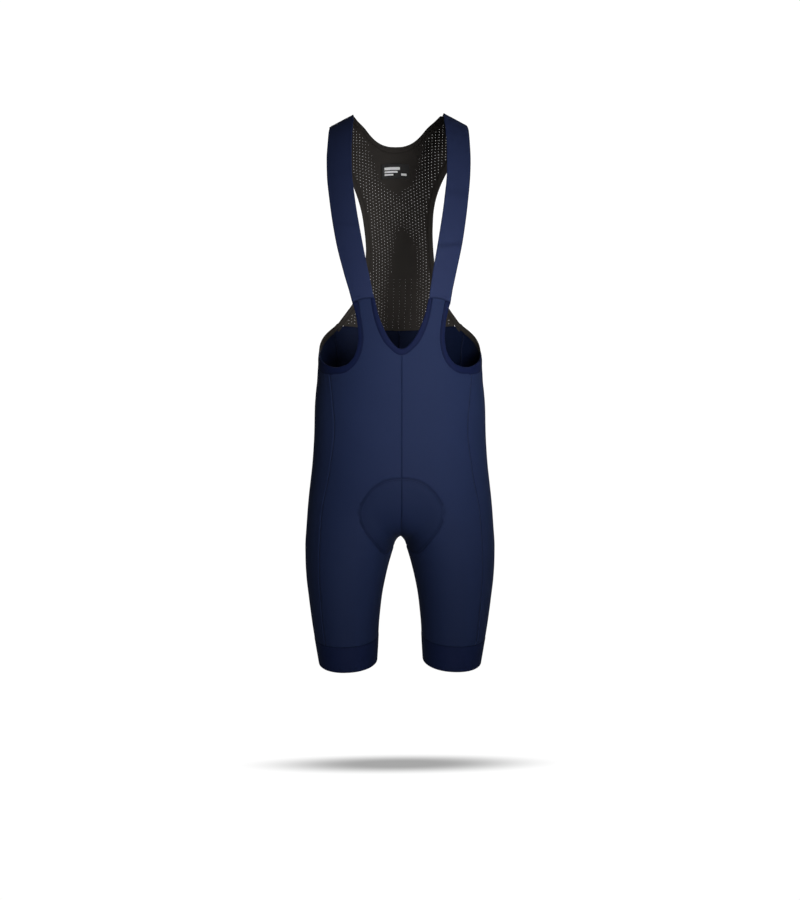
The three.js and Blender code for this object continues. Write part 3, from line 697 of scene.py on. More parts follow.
@dataclass
class Sewing:
    """How seams and creases shape the cloth near them."""

    groove: float = 0.75
    groove_width: float = 0.9
    allowance: float = 0.30
    allowance_width: float = 5.0
    stitch_depth: float = 0.12
    pad_groove: float = 0.8
    pad_groove_width: float = 1.5
    pad_crown: float = 1.4
    pad_outline: tuple[tuple[float, float], ...] = (
        (0, -603.5), (14, -604.8), (27.7, -608), (41, -615), (52.5, -625), (62, -637.5),
        (68.8, -650), (71.5, -662), (70.6, -673), (67.3, -684.5), (61.8, -695), (55, -705),
        (47.6, -715), (40, -725.5), (33, -734.5), (26.5, -738.5), (19, -738), (10, -733), (-4, -730))
    creases: tuple[Crease, ...] = (
        # Drag lines that run up and out from the crotch, front then back.
        Crease(0.105, -700, 38, 34, 7, 0.9),
        Crease(0.135, -735, 24, 40, 9, 1.0, 0.12),
        Crease(0.085, -764, 12, 30, 8, 0.6),
        Crease(0.88, -722, -30, 42, 9, 1.1, -0.1),
        Crease(0.86, -752, -14, 46, 10, 1.2),
        Crease(0.90, -782, -6, 34, 8, 0.7),
        # Hip and belly, long and faint.
        Crease(0.26, -560, 58, 60, 16, 0.7),
        Crease(0.20, -470, 8, 46, 12, 0.35),
        # Lower back, short crosswise ripples.
        Crease(0.93, -420, 4, 48, 9, 0.9),
        Crease(0.90, -447, -5, 56, 10, 0.8, 0.06),
        Crease(0.96, -476, 3, 38, 9, 0.5),
        # Above the leg bands and behind the knee.
        Crease(0.22, -868, 5, 34, 7, 0.45),
        Crease(0.80, -858, -6, 44, 9, 0.9),
        Crease(0.72, -838, 7, 36, 8, 0.6),
        # Side, under the armhole.
        Crease(0.47, -448, -16, 34, 9, 0.5),
    )

    def seam(self, distance: Array, allowance: bool) -> Array:
        """Relief beside a seam: a narrow groove on it, and where the allowance lies flat, a low step.

        Args:
            distance: How far each place is from the seam.
            allowance: Whether this panel covers the seam allowance.

        Returns:
            How far each place moves out.
        """
        relief = -self.groove * bell(distance, self.groove_width)
        if allowance:
            relief = relief + self.allowance * plateau(distance, 1.4, self.allowance_width, 0.9)
            relief = relief - self.stitch_depth * bell(distance - self.allowance_width + 0.8, 0.5)
        return relief

    def stitch(self, distance: Array) -> Array:
        """Darkness of the thread and shadow in a seam's groove."""
        return bell(distance, self.groove_width * 0.9)

    def pad(self, patch: Patch, reach: float) -> tuple[Array, Array, Array]:
        """Stitched outline of the pad under the cloth.

        The distance from each place to the outline is the least over its segments. Inside, the cloth
        is crowned, and on the outline it is drawn in.

        Args:
            patch: Left half of a panel.
            reach: How much wider the outline is here than at the front.

        Returns:
            Relief, thread darkness and painted shade.
        """
        knots = np.array(self.pad_outline, float) * [reach, 1]
        t = np.linspace(0, 1, 90)
        line = np.stack([Spline(knots[:, 0])(t), Spline(knots[:, 1])(t)], -1)
        start, way = line[:-1], np.diff(line, axis=0)
        flat = np.stack([patch.at[..., 0], patch.z], -1)
        near = (patch.z > -780) & (patch.z < -570)
        to = flat[near][:, None] - start
        share = np.clip(np.sum(to * way, -1) / np.sum(way * way, -1), 0, 1)
        distance = np.full(patch.z.shape, 99.0)
        distance[near] = np.min(np.linalg.norm(to - way * share[..., None], axis=-1), axis=1)
        before, after = line, np.roll(line, -1, axis=0)
        x, z = flat[near][:, None, 0], flat[near][:, None, 1]
        spans = (before[:, 1] > z) != (after[:, 1] > z)
        rise = np.where(before[:, 1] == after[:, 1], 1.0, after[:, 1] - before[:, 1])
        crossing = before[:, 0] + (z - before[:, 1]) / rise * (after[:, 0] - before[:, 0])
        inside = np.zeros(patch.z.shape)
        inside[near] = np.sum(spans & (x < crossing), axis=1) % 2
        crown = self.pad_crown * ease(distance / 16) * inside
        groove = -self.pad_groove * bell(distance, self.pad_groove_width)
        ridge = 0.35 * bell(distance - 3.4, 1.2)
        thread = 0.8 * bell(distance, 1.2) + 0.35 * bell(distance - 3.0, 0.8) * inside
        # painted shade inside the pad's outline, deeper towards the crotch
        shade = inside * (0.35 + 0.25 * ease((-650 - flat[..., 1]) / 60)) * ease(distance / 3)
        return crown + groove + ridge, thread, shade

    def creased(self, form: Form, patch: Patch, side: Side) -> Array:
        """All creases on a panel, a little shifted and shallower on the right so that the halves differ.

        They fade out towards the leg band, the upper edges and the middle seams.
        """
        shift, share = (0.0, 1.0) if side is Side.LEFT else (0.012, 0.8)
        total = np.zeros(patch.u.shape)
        for number, crease in enumerate(self.creases):
            wander = shift * (1 if number % 2 else -1)
            total += share * crease.relief(form, patch.u - wander, patch.z + 300 * wander)
        along = patch.along()
        from_end = np.minimum(along, along[-1:] - along)
        from_middle = np.minimum(patch.u, 1 - patch.u) * form.girth
        return total * ease(from_end / 9) * ease(from_middle / 14)


# ---- Outlines shared by panels, bands and bindings ----


@dataclass
class Pattern:
    """Outlines of the cut pieces on the form."""

    form: Form
    highest: float = -458.0  # highest row that goes all round
    arm_corner: float = -430.0
    seam_steps: int = 3
    arm_steps: int = 14
    centre_steps: int = 10
    neck_steps: int = 7
    centre_crowding: float = 1.6
    neck: tuple[tuple[float, float, float, float], ...] = (
        (0, -398, 0, -388.5), (8, -395.5, 6, -386.5), (16.5, -389, 11.5, -382), (29, -375.5, 21.5, -370),
        (39.5, -354, 31, -351.5), (46, -333, 38.5, -331), (51, -304.7, 44.5, -305))
    arm: tuple[tuple[float, float, float, float], ...] = (
        (120.5, -430, 121.5, -418), (112, -429.5, 113, -419.8), (102, -429, 104, -420),
        (92, -425.5, 95, -416.7), (82, -418, 86.5, -410), (73.5, -407, 79.5, -401), (67.5, -392, 74.5, -388),
        (64.5, -374, 72, -371), (65.5, -354, 73, -352.5), (68.5, -333, 75.8, -333), (73.5, -309.2, 81, -312.5))
    top_u: tuple[float, ...] = (0.36, 0.4, 0.44, 0.48, 0.505, 0.54, 0.575, 0.62, 0.69, 0.735)
    top_z: tuple[float, ...] = (-430, -427, -420, -410, -402.5, -391.5, -385, -377, -362.5, -350)
    top_open: tuple[float, ...] = (-418, -415.5, -409.5, -400, -393.5, -382.5, -375.5, -367, -352.5, -340)
    seam_u: tuple[float, ...] = (0.735, 0.78, 0.85, 0.92, 1)
    seam_z: tuple[float, ...] = (-349.5, -350, -353, -356.5, -358)
    edge_z: tuple[float, ...] = (
        -340, -324, -310, -285, -255, -225, -195, -152, -123.5, -90, -64, -36, -16, -6.76)
    edge_x: tuple[float, ...] = (106.5, 94, 85, 74, 66, 61.5, 61, 64, 70, 83, 95, 107, 113.5, 115.5)
    band: float = 9.0
    scoop: tuple[tuple[float, float], ...] = (
        (0, -58), (12, -57), (24, -53), (35, -46), (45, -36), (55, -23), (65, -11.5), (73.5, -1.3), (78, 1))
    scoop_band: float = 8.0
    strap_end: float = 1.1
    strap_foot: tuple[float, float] = (44.5, 81.0)  # from the middle to the strap's edges at its front seam
    crotch_rows: tuple[float, float] = (-760, -670)  # the rows that are evened out, about the crotch

    def __post_init__(self) -> None:
        """Make the smooth outlines."""
        at = self.form.place_at
        neck, arm = np.array(self.neck, float), np.array(self.arm, float)
        self.neck_line = (Spline(at(neck[:, 0], neck[:, 1])), Spline(neck[:, 1]))
        self.neck_open = (Spline(at(neck[:, 2], neck[:, 3])), Spline(neck[:, 3]))
        self.arm_line = (Spline(at(arm[:, 0], arm[:, 1])), Spline(arm[:, 1]))
        self.arm_open = (Spline(at(arm[:, 2], arm[:, 3])), Spline(arm[:, 3]))
        self.top_edge = Curve(self.top_u, self.top_z)
        self.top_opening = Curve(self.top_u, self.top_open)
        self.back_seam = Curve(self.seam_u, self.seam_z)
        self.back_edge = Curve(self.edge_z, self.edge_x)
        scoop = np.array(self.scoop, float)
        self.scoop_x, self.scoop_z = Spline(scoop[:, 0]), Spline(scoop[:, 1])

    def strap_seam(self, x: Array) -> Array:
        """Height of the seam between strap and front, which arches across the strap."""
        inner, outer = self.strap_foot
        s = np.clip((x - inner) / (outer - inner), 0, 1)
        return mix(-305.0, -312.5, s) + 3 * np.sin(np.pi * s)

    def side_places(self, z: float | Array, s: Array) -> Array:
        """Places across the side panel."""
        return mix(self.form.front_seam(z), self.form.rear_seam(z), s)

    def back_edge_at(self, t: Array, inset: float) -> tuple[Array, Array]:
        """Side edge of the open-knit back, t of the way up, inset from the opening."""
        r = mix(root_drop(-340.0), self.strap_end, t)
        z = -r * r
        return self.form.place_at(self.back_edge(z) - inset, z, True), z

    def scoop_at(self, t: Array, inset: float) -> tuple[Array, Array]:
        """Neck edge of the back, t of the way from the middle to the strap, inset from the opening."""
        lean = ease(t)
        z = np.minimum(self.scoop_z(t) - inset * (1 - lean), -self.strap_end**2)
        return self.form.place_at(self.scoop_x(t) + inset * lean, z, True), z

    def body_rows(self, wide: float, fine: float) -> Array:
        """Heights of the rows that go all round, from the leg bands up, closer about the pad."""
        def run(start: float, end: float, step: float) -> Array:
            """Even heights at about a step apart."""
            return np.linspace(start, end, max(2, round((end - start) / step)) + 1)

        cuff = self.form.cuff_seam
        parts = [cuff + np.array([0, 0.4, 0.8, 1.3, 2.0, 3.0]), run(cuff + 5, -750, wide),
                 run(-748, -592, fine), run(-589, self.highest, wide)]
        return np.concatenate(parts)

    def upper_steps(self, per_step: int) -> Array:
        """Steps of the front's upper rows, closer towards the strap seam."""
        total = self.centre_steps + self.neck_steps
        steps = np.linspace(0, total, total * per_step + 1)[1:]
        return np.concatenate([steps[:-1], [total - 0.16, total - 0.08, total - 0.03, total]])


# ---- Navy panels ----


@dataclass
class NavyPanel:
    """A knitted panel of the shorts, with its seams, creases and pad outline."""

    form: Form
    pattern: Pattern
    sewing: Sewing
    wardrobe: Wardrobe
    name: str = ""  # the CAD node it stands for, without its side
    thickness: float = 1.4
    row_steps: tuple[float, float] = (4.4, 1.7)  # between rows, and between rows about the pad
    covers: bool = False  # whether it covers the seam allowances at its two sides
    pad_reach: float = 0.0  # how wide the pad's outline is on it, as a share of the front's
    flat: tuple[float, float] = (0.0, 0.0)
    area: float = 0.0

    def patch(self) -> Patch:
        """Places of the left panel, which each kind of panel lays out."""
        raise NotImplementedError

    def first_thread(self, patch: Patch) -> Array | float:
        """Share of the thread's darkness along the first column, by row."""
        return 1.0

    def make(self, side: Side) -> None:
        """Build one panel: a wall whose relief is its seams, the pad's outline and the creases."""
        patch = self.patch()
        across, along = patch.across(), patch.along()
        edges = (across, across[:, -1:] - across, along, along[-1:] - along)
        covered = (self.covers, self.covers, False, False)
        relief = sum(self.sewing.seam(d, cover) for d, cover in zip(edges, covered))
        threads = [self.sewing.stitch(d) for d in edges]
        threads[0] = threads[0] * self.first_thread(patch)
        shade = np.zeros_like(relief)
        if self.pad_reach:
            pad_relief, thread, shade = self.sewing.pad(patch, self.pad_reach)
            relief = relief + pad_relief
            threads.append(thread)
        relief = relief + self.sewing.creased(self.form, patch, side)
        marks = {"stitch": np.maximum.reduce(threads), "shade": shade}
        node = f"{self.name}_{side.value}"
        piece = shell(f"{node}_panel", patch.on_side(side), relief, relief - self.thickness, marks)
        self.wardrobe.dress(piece, self.wardrobe.navy, Slot.NAVY_KNIT, [node])


@dataclass
class FrontPanel(NavyPanel):
    """Front of body and leg, from the middle seam to the side seam."""

    name: str = "front"
    pad_reach: float = 1.0
    flat: tuple[float, float] = (0.17, 0.60)
    area: float = 0.064

    def patch(self) -> Patch:
        """Places of the left front.

        A row runs straight in u and z from the middle line, then the neck, to the side seam, then the
        armhole. The topmost rows bend to the strap's seam.
        """
        form, pattern = self.form, self.pattern
        rows = pattern.body_rows(*self.row_steps)
        steps = pattern.upper_steps(4)
        centre, total = pattern.centre_steps, pattern.centre_steps + pattern.neck_steps
        share = (steps - centre) / pattern.neck_steps
        rise = np.clip(steps / centre, 0, 1) ** pattern.centre_crowding
        on_neck = steps > centre
        from_u = np.where(on_neck, pattern.neck_line[0](share), 0.0)
        from_z = np.where(on_neck, pattern.neck_line[1](share), mix(pattern.highest, pattern.neck[0][1], rise))
        on_arm = steps > pattern.seam_steps
        seam_z = mix(pattern.highest, pattern.arm_corner, np.clip(steps / pattern.seam_steps, 0, 1))
        share = (steps - pattern.seam_steps) / pattern.arm_steps
        to_u = np.where(on_arm, pattern.arm_line[0](share), form.front_seam(seam_z))
        to_z = np.where(on_arm, pattern.arm_line[1](share), seam_z)
        from_u = np.concatenate([np.zeros(len(rows)), from_u])
        from_z = np.concatenate([rows, from_z])
        to_u = np.concatenate([form.front_seam(rows), to_u])
        to_z = np.concatenate([rows, to_z])
        s = self.columns()
        u = mix(from_u[:, None], to_u[:, None], s)
        z = mix(from_z[:, None], to_z[:, None], s)
        last = np.clip(np.concatenate([np.zeros(len(rows)), steps - total + 1]), 0, 1)[:, None]
        z = mix(z, pattern.strap_seam(form.at(u, z)[..., 0]), last)
        return Patch.on(form, u, z).eased_rows(*pattern.crotch_rows)

    def columns(self) -> Array:
        """Shares across the panel, closest at both seams and close over the pad."""
        edge = np.array([0, 0.0025, 0.005, 0.009, 0.014, 0.02])
        return np.concatenate([edge, np.linspace(0.03, 0.60, 66), np.linspace(0.62, 0.955, 18),
                               1 - np.array([0.036, 0.03, 0.024, 0.019, 0.014, 0.01, 0.006, 0.003, 0])])

    def first_thread(self, patch: Patch) -> Array:
        """The middle seam's thread is darker than that inside the leg, from a little under the crotch."""
        return 0.8 * np.where(patch.z[:, :1] > self.form.crotch - 30, 1.0, 0.6)


@dataclass
class SidePanel(NavyPanel):
    """Side of body and leg, between the two long seams."""

    name: str = "side"
    row_steps: tuple[float, float] = (4.4, 4.0)
    covers: bool = True
    flat: tuple[float, float] = (0.15, 0.52)
    area: float = 0.068

    def patch(self) -> Patch:
        """Places of the left side, up to the armhole's lower edge."""
        pattern = self.pattern
        rows = pattern.body_rows(*self.row_steps)
        s = fine_ends(35, 0.9)
        u = pattern.side_places(rows[:, None], s)
        z = np.broadcast_to(rows[:, None], u.shape)
        t = np.concatenate([np.linspace(0, 1, 14)[1:-1], [0.955, 0.975, 0.99, 1.0]])[:, None]
        top = pattern.side_places(pattern.arm_corner, s)
        edge = np.where(s == 0, pattern.arm_corner, pattern.top_edge(top))
        upper_u = mix(pattern.side_places(pattern.highest, s), top, t)
        upper_z = mix(pattern.highest, edge, t)
        upper_u[:, 0] = self.form.front_seam(upper_z[:, 0])
        return Patch.on(self.form, np.concatenate([u, upper_u]), np.concatenate([z, upper_z]))


@dataclass
class BackPanel(NavyPanel):
    """Seat and lower back, and the back of the leg."""

    name: str = "back"
    pad_reach: float = 1.12
    flat: tuple[float, float] = (0.16, 0.54)
    area: float = 0.064

    def patch(self) -> Patch:
        """Places of the left back, up to the open knit and the band beside it."""
        form, pattern = self.form, self.pattern
        rows = pattern.body_rows(*self.row_steps)
        start = form.rear_seam(pattern.arm_corner)
        corner = float((pattern.seam_u[0] - start) / (1 - start))
        s = np.concatenate([corner * fine_ends(26, 0.9), mix(corner, 1.0, self.inner_columns())])
        u = mix(form.rear_seam(rows)[:, None], 1.0, s)
        z = np.broadcast_to(rows[:, None], u.shape)
        t = np.concatenate([np.linspace(0, 1, 26)[1:-1], [0.975, 0.985, 0.993, 1.0]])[:, None]
        top = mix(start, 1.0, s)
        edge = np.where(s <= corner, pattern.top_edge(top), pattern.back_seam(top))
        upper_u = mix(mix(form.rear_seam(pattern.highest), 1.0, s), top, t)
        upper_z = mix(pattern.highest, edge, t)
        patch = Patch.on(form, np.concatenate([u, upper_u]), np.concatenate([z, upper_z]))
        return patch.eased_rows(*pattern.crotch_rows)

    def inner_columns(self) -> Array:
        """Shares from the corner to the middle seam, closest at the middle."""
        last = 1 - np.array([0.03, 0.02, 0.012, 0.007, 0.003, 0])
        return np.concatenate([np.linspace(0, 0.96, 68)[1:], last])


# ---- Leg bands ----


@dataclass
class LegBand:
    """Elastic band round the leg's end."""

    form: Form
    wardrobe: Wardrobe
    thickness: float = 1.8
    raised: float = 0.4
    rounding: float = 0.9
    flat: tuple[float, float] = (0.36, 0.045)

    def make(self, side: Side) -> None:
        """Build one band: a tube round the leg whose two edges are rounded."""
        u = np.linspace(0, 1, 181)[None, :]
        t = fine_ends(26, 0.93)[:, None]
        patch = Patch.on(self.form, u, mix(self.form.hem, self.form.cuff_seam + 1.3, t))
        along = patch.along()
        total = along[-1:]
        middle = self.raised - self.thickness / 2
        swell = rounded(along, total, self.rounding) * self.thickness / 2
        ripple = 0.12 * bell(patch.u - 0.2, 0.05) * np.sin(along / 3.1)
        ripple = ripple + 0.16 * bell(total - along - 3.4, 0.7)
        # shade: painted shade along the band's lower edge
        marks = {"stitch": bell(total - along, 1.1) + 0.5 * bell(total - along - 3.4, 0.6),
                 "shade": 0.25 * bell(along, 4.0)}
        node = f"cuff_{side.value}"
        piece = shell(f"{node}_band", patch.on_side(side), middle + swell + ripple * (swell > 0.3),
                      middle - swell, marks, closed=True)
        self.wardrobe.dress(piece, self.wardrobe.cuff, Slot.NAVY_BINDING, [node])


# ---- Tapes: bindings, bands and straps ----


@dataclass
class Tape:
    """A narrow strip sewn along an edge, with rounded edges and rows of stitches."""

    form: Form
    pattern: Pattern
    wardrobe: Wardrobe
    thickness: float = 2.2
    raised: float = 0.4
    crown: float = 0.35
    columns: int = 15
    overlap: float = 0.14  # share of its width that lies over the panel's edge
    stitch_pitch: float = 2.6

    def patch(self, inner: tuple[Array, Array], outer: tuple[Array, Array],
              wider: Array | float = 0.0) -> Patch:
        """Strip between two lines on the form, straight across in u and z.

        Args:
            inner: Places and heights of the panel's edge, which the strip laps over.
            outer: Places and heights of the opening's edge.
            wider: What is added to the overlap, for each row.

        Returns:
            The strip's places.
        """
        lap = np.reshape(self.overlap + wider, (-1, 1))
        s = -lap + (1 + lap) * fine_ends(self.columns, 0.7)
        u = mix(inner[0][:, None], outer[0][:, None], s)
        z = mix(inner[1][:, None], outer[1][:, None], s)
        return Patch.on(self.form, u, z)

    def build(self, name: str, patch: Patch, finish: ClothFinish, slot: Slot, node: str,
              flat: tuple[float, float]) -> None:
        """Wall of the tape: an oval section that is flat in the middle, with a line of stitches.

        Args:
            name: The piece's name.
            patch: Its places; columns run from the panel's edge to the opening.
            finish: Its finish.
            slot: The record's slot of the same finish.
            node: The CAD node it stands for.
            flat: Width and length of the cut, in metres; not used.
        """
        across, along = patch.across(), patch.along()
        total = across[:, -1:]
        middle = self.raised - self.thickness / 2
        swell = rounded(across, total, 1.1) * self.thickness / 2
        crown = self.crown * np.sin(np.pi * across / total)
        line = bell(across - 2.2, 0.55)
        dash = 0.5 + 0.5 * np.cos(2 * np.pi * along / self.stitch_pitch)
        outer = middle + swell + crown - 0.28 * line * (0.6 + 0.4 * dash)
        marks = {"stitch": 0.75 * line + bell(across, 0.6), "shade": np.zeros_like(across)}
        piece = shell(name, patch, outer, middle - swell, marks)
        self.wardrobe.dress(piece, finish, slot, [node])


@dataclass
class Bindings(Tape):
    """Folded navy tape round the neck and the fronts of the armholes."""

    neck_flat: tuple[float, float] = (0.010, 0.20)
    arm_flat: tuple[float, float] = (0.012, 0.22)
    turn_points: int = 7  # the opening's last points, where it turns from the armhole's floor to the side
    turn_rounds: int = 3

    def make(self) -> None:
        """Build the neck binding in one piece, and one binding for each armhole."""
        t = np.linspace(0, 1, 56)
        lines = [(line[0](t), line[1](t)) for line in (self.pattern.neck_line, self.pattern.neck_open)]
        neck = self.patch(*lines).joined_with_mirror()
        self.build("neck_binding_tape", neck, self.wardrobe.tape, Slot.NAVY_BINDING, "neck_binding",
                   self.neck_flat)
        for side in Side:
            node = f"armhole_binding_{side.value}"
            self.build(f"{node}_tape", self.arm_patch().on_side(side), self.wardrobe.tape,
                       Slot.NAVY_BINDING, node, self.arm_flat)

    def arm_patch(self) -> Patch:
        """Strip from the strap down and round to the middle of the side, through the cut's own steps.

        The opening's turn is eased: each round moves a point to the mean of itself, twice, and its neighbours.
        """
        share = np.linspace(1, 0, self.pattern.arm_steps + 1)
        side = self.pattern.side_places(self.pattern.arm_corner, np.array([0.25, 0.5]))
        t = np.linspace(0, 1, 100)
        lines, n = [], self.turn_points
        for line, top, rounds in ((self.pattern.arm_line, self.pattern.top_edge, 0),
                                  (self.pattern.arm_open, self.pattern.top_opening, self.turn_rounds)):
            u = np.concatenate([line[0](share), side])
            z = np.concatenate([line[1](share), top(side)])
            for _ in range(rounds):
                for values in (u, z):
                    values[-n:-1] = (values[-n - 1:-2] + 2 * values[-n:-1] + values[1 - n:]) / 4
            lines.append((Spline(u)(t), Spline(z)(t)))
        return self.patch(*lines)


@dataclass
class BackBands(Tape):
    """Black knitted bands round the open-knit back."""

    crown: float = 0.25
    edge_flat: tuple[float, float] = (0.0106, 0.46)
    neck_flat: tuple[float, float] = (0.011, 0.215)
    turn_lap: float = 0.42  # more overlap where the side band turns on to the side
    turn_reach: float = 0.03

    def make(self) -> None:
        """Build the two side bands and the neck band."""
        for side in Side:
            node = f"back_edge_{side.value}"
            self.build(f"{node}_band", Sway().on(self.side_patch().on_side(side)), self.wardrobe.black,
                       Slot.BLACK_KNIT, node, self.edge_flat)
        t = np.linspace(0, 1, 60)
        lines = (self.pattern.scoop_at(t, self.pattern.scoop_band), self.pattern.scoop_at(t, 0.0))
        neck = Sway().on(self.patch(*lines).joined_with_mirror())
        self.build("back_neck_trim", neck, self.wardrobe.black, Slot.BLACK_KNIT, "back_neck_band",
                   self.neck_flat)

    def side_patch(self) -> Patch:
        """Strip from the middle of the side, along the lower back's edge and up to the strap."""
        pattern = self.pattern
        start = self.form.rear_seam(pattern.arm_corner)
        corner = (pattern.seam_u[0] - start) / (1 - start)
        low = np.concatenate([pattern.side_places(pattern.arm_corner, np.array([0.5, 0.75, 1.0])),
                              mix(start, 1.0, corner * np.array([0.5, 1.0]))])
        high = np.linspace(0, 1, 20)[1:]
        t = np.linspace(0, 1, 230)
        lines = []
        for top, inset in ((pattern.top_edge, pattern.band), (pattern.top_opening, 0.0)):
            u, z = pattern.back_edge_at(high, inset)
            lines.append((Spline(np.concatenate([low, u]))(t), Spline(np.concatenate([top(low), z]))(t)))
        turn = (len(low) - 1) / (len(low) + len(high) - 1)
        return self.patch(*lines, self.turn_lap * bell(t - turn, self.turn_reach))


@dataclass
class Straps(Tape):
    """Wide elastic straps from the front over the shoulders."""

    thickness: float = 1.6
    raised: float = 0.2
    z: tuple[float, ...] = (0, -4, -12, -30, -62, -93, -143, -208, -261, -309)
    inner: tuple[float, ...] = (77.6, 76.6, 76.5, 77.5, 78.5, 78, 72.5, 62, 52.5, 44.5)
    outer: tuple[float, ...] = (112.8, 114.6, 115.8, 116.3, 117, 116, 111.5, 102.5, 91.5, 81)
    slip: tuple[float, ...] = (5, 5.3, 5.8, 6.5, 7.5, 8, 8, 7, 5, 1)
    drawn: tuple[float, ...] = (-3.7, -3.7, -3.5, -3.2, -2.8, -2.4, -2, -1.5, -1, 0)
    tongue: float = 3.2  # how far it runs on under the front
    back_end: float = 0.4  # how far its back end passes the seam, as a root of the drop
    first: float = -290.0
    foot_steps: tuple[float, ...] = (0, 0.01, 0.02, 0.035, 0.05, 0.07, 0.1, 0.14, 0.2, 0.3, 0.4, 0.55, 0.7, 0.85)
    right_rise: float = 34.0  # how much higher the folds lie on the right strap
    right_depth: float = 0.4  # how deep they are there, as a share
    crease_shade: tuple[float, float] = (0.55, 0.2)  # painted shade below the folds, left and right
    flat: tuple[float, float] = (0.040, 0.37)
    folds: tuple[tuple[float, float, float, float], ...] = (
        # Height, slant, depth and width of crosswise folds on the left strap.
        (-214.0, 0.10, 1.0, 4.2), (-224.0, 0.12, -0.5, 6.0), (-120.0, -0.06, 0.4, 8.0))

    def strap_patch(self, side: Side) -> Patch:
        """Places of a strap: up the front by even roots of the drop, and over to the back.

        The right strap has slipped a little outwards and is stretched wider. A tongue at the front and
        the end at the back lie under and over the cloth they are sewn to.
        """
        form, pattern = self.form, self.pattern
        slip = np.array(self.slip) * (side is Side.RIGHT)
        drawn = np.array(self.drawn) * (side is Side.LEFT)
        inner = Curve(self.z, np.array(self.inner) + 0.5 * slip + drawn)
        outer = Curve(self.z, np.array(self.outer) + slip)
        s = fine_ends(31, 0.82)
        over = np.linspace(0, pattern.strap_end + self.back_end, 26)[1:]
        r = np.concatenate([np.linspace(-math.sqrt(-self.first), 0, 150), over])
        z = -r * r
        x = mix(inner(z)[:, None], outer(z)[:, None], s)
        z = np.broadcast_to(z[:, None], x.shape)
        front = form.place_at(x, z)
        u = np.where(r[:, None] > 0, form.place_at(x, z, True), front)
        low_x = mix(*pattern.strap_foot, s)
        q = np.array(self.foot_steps)[:, None]
        seam_z = mix(pattern.strap_seam(low_x) + 0.2 - self.tongue, self.first, q)
        seam_x = mix(low_x, x[0], q)
        foot_u = form.place_at(seam_x, seam_z)
        return Patch.on(form, np.concatenate([foot_u, u]), np.concatenate([seam_z, z])).own_normals()

    def make(self) -> None:
        """Build both straps: flat tape with thin edges, a stitched seam at the front and soft folds, with
        painted shade below the folds.
        """
        for side in Side:
            patch = self.strap_patch(side)
            across, along = patch.across(), patch.along()
            total, end = across[:, -1:], along[-1:] - along
            along = along - self.tongue
            middle = self.raised - self.thickness / 2
            thin = mix(0.25, 1.0, ease((along + 0.6) / 0.6))
            swell = rounded(across, total, 0.9) * thin * self.thickness / 2
            seam = -0.55 * bell(along, 1.0) + 0.22 * plateau(along, 1.6, 5.6, 0.8) - 0.4 * bell(end, 1.0)
            edge = 0.16 * bell(np.minimum(across, total - across) - 2.4, 0.8)
            on_left = side is Side.LEFT
            rise, share = (0.0, 1.0) if on_left else (self.right_rise, self.right_depth)
            dark = self.crease_shade[0 if on_left else 1]
            fold, crease = np.zeros_like(across), np.zeros_like(across)
            for height, slant, depth, width in self.folds:
                where = patch.z - height - slant * across - rise
                fold -= share * depth * bell(where, width) * np.sin(np.pi * across / total)
                # painted shade below each fold, for the change in sheen that the fold makes
                crease += dark * max(depth, 0) * bell(where + 1.3 * width, 0.9 * width)
            shape = (seam * (along > -0.3) + edge) * (swell > 0.3) + fold
            stitch = np.maximum(bell(along, 1.2), 0.5 * bell(end, 1.0)) + 0.35 * bell(along - 5.4, 0.6)
            # a thin darker line beside each edge, and the painted shade below the folds
            shade = 0.15 * bell(np.minimum(across, total - across) - 1.6, 0.7) + crease
            marks = {"stitch": stitch, "shade": shade}
            node = f"strap_{side.value}"
            piece = shell(f"{node}_tape", patch.on_side(side), middle + swell + shape,
                          middle - swell + fold, marks)
            self.wardrobe.dress(piece, self.wardrobe.strap, Slot.NAVY_KNIT, [node])


# ---- Open-knit back and its label ----


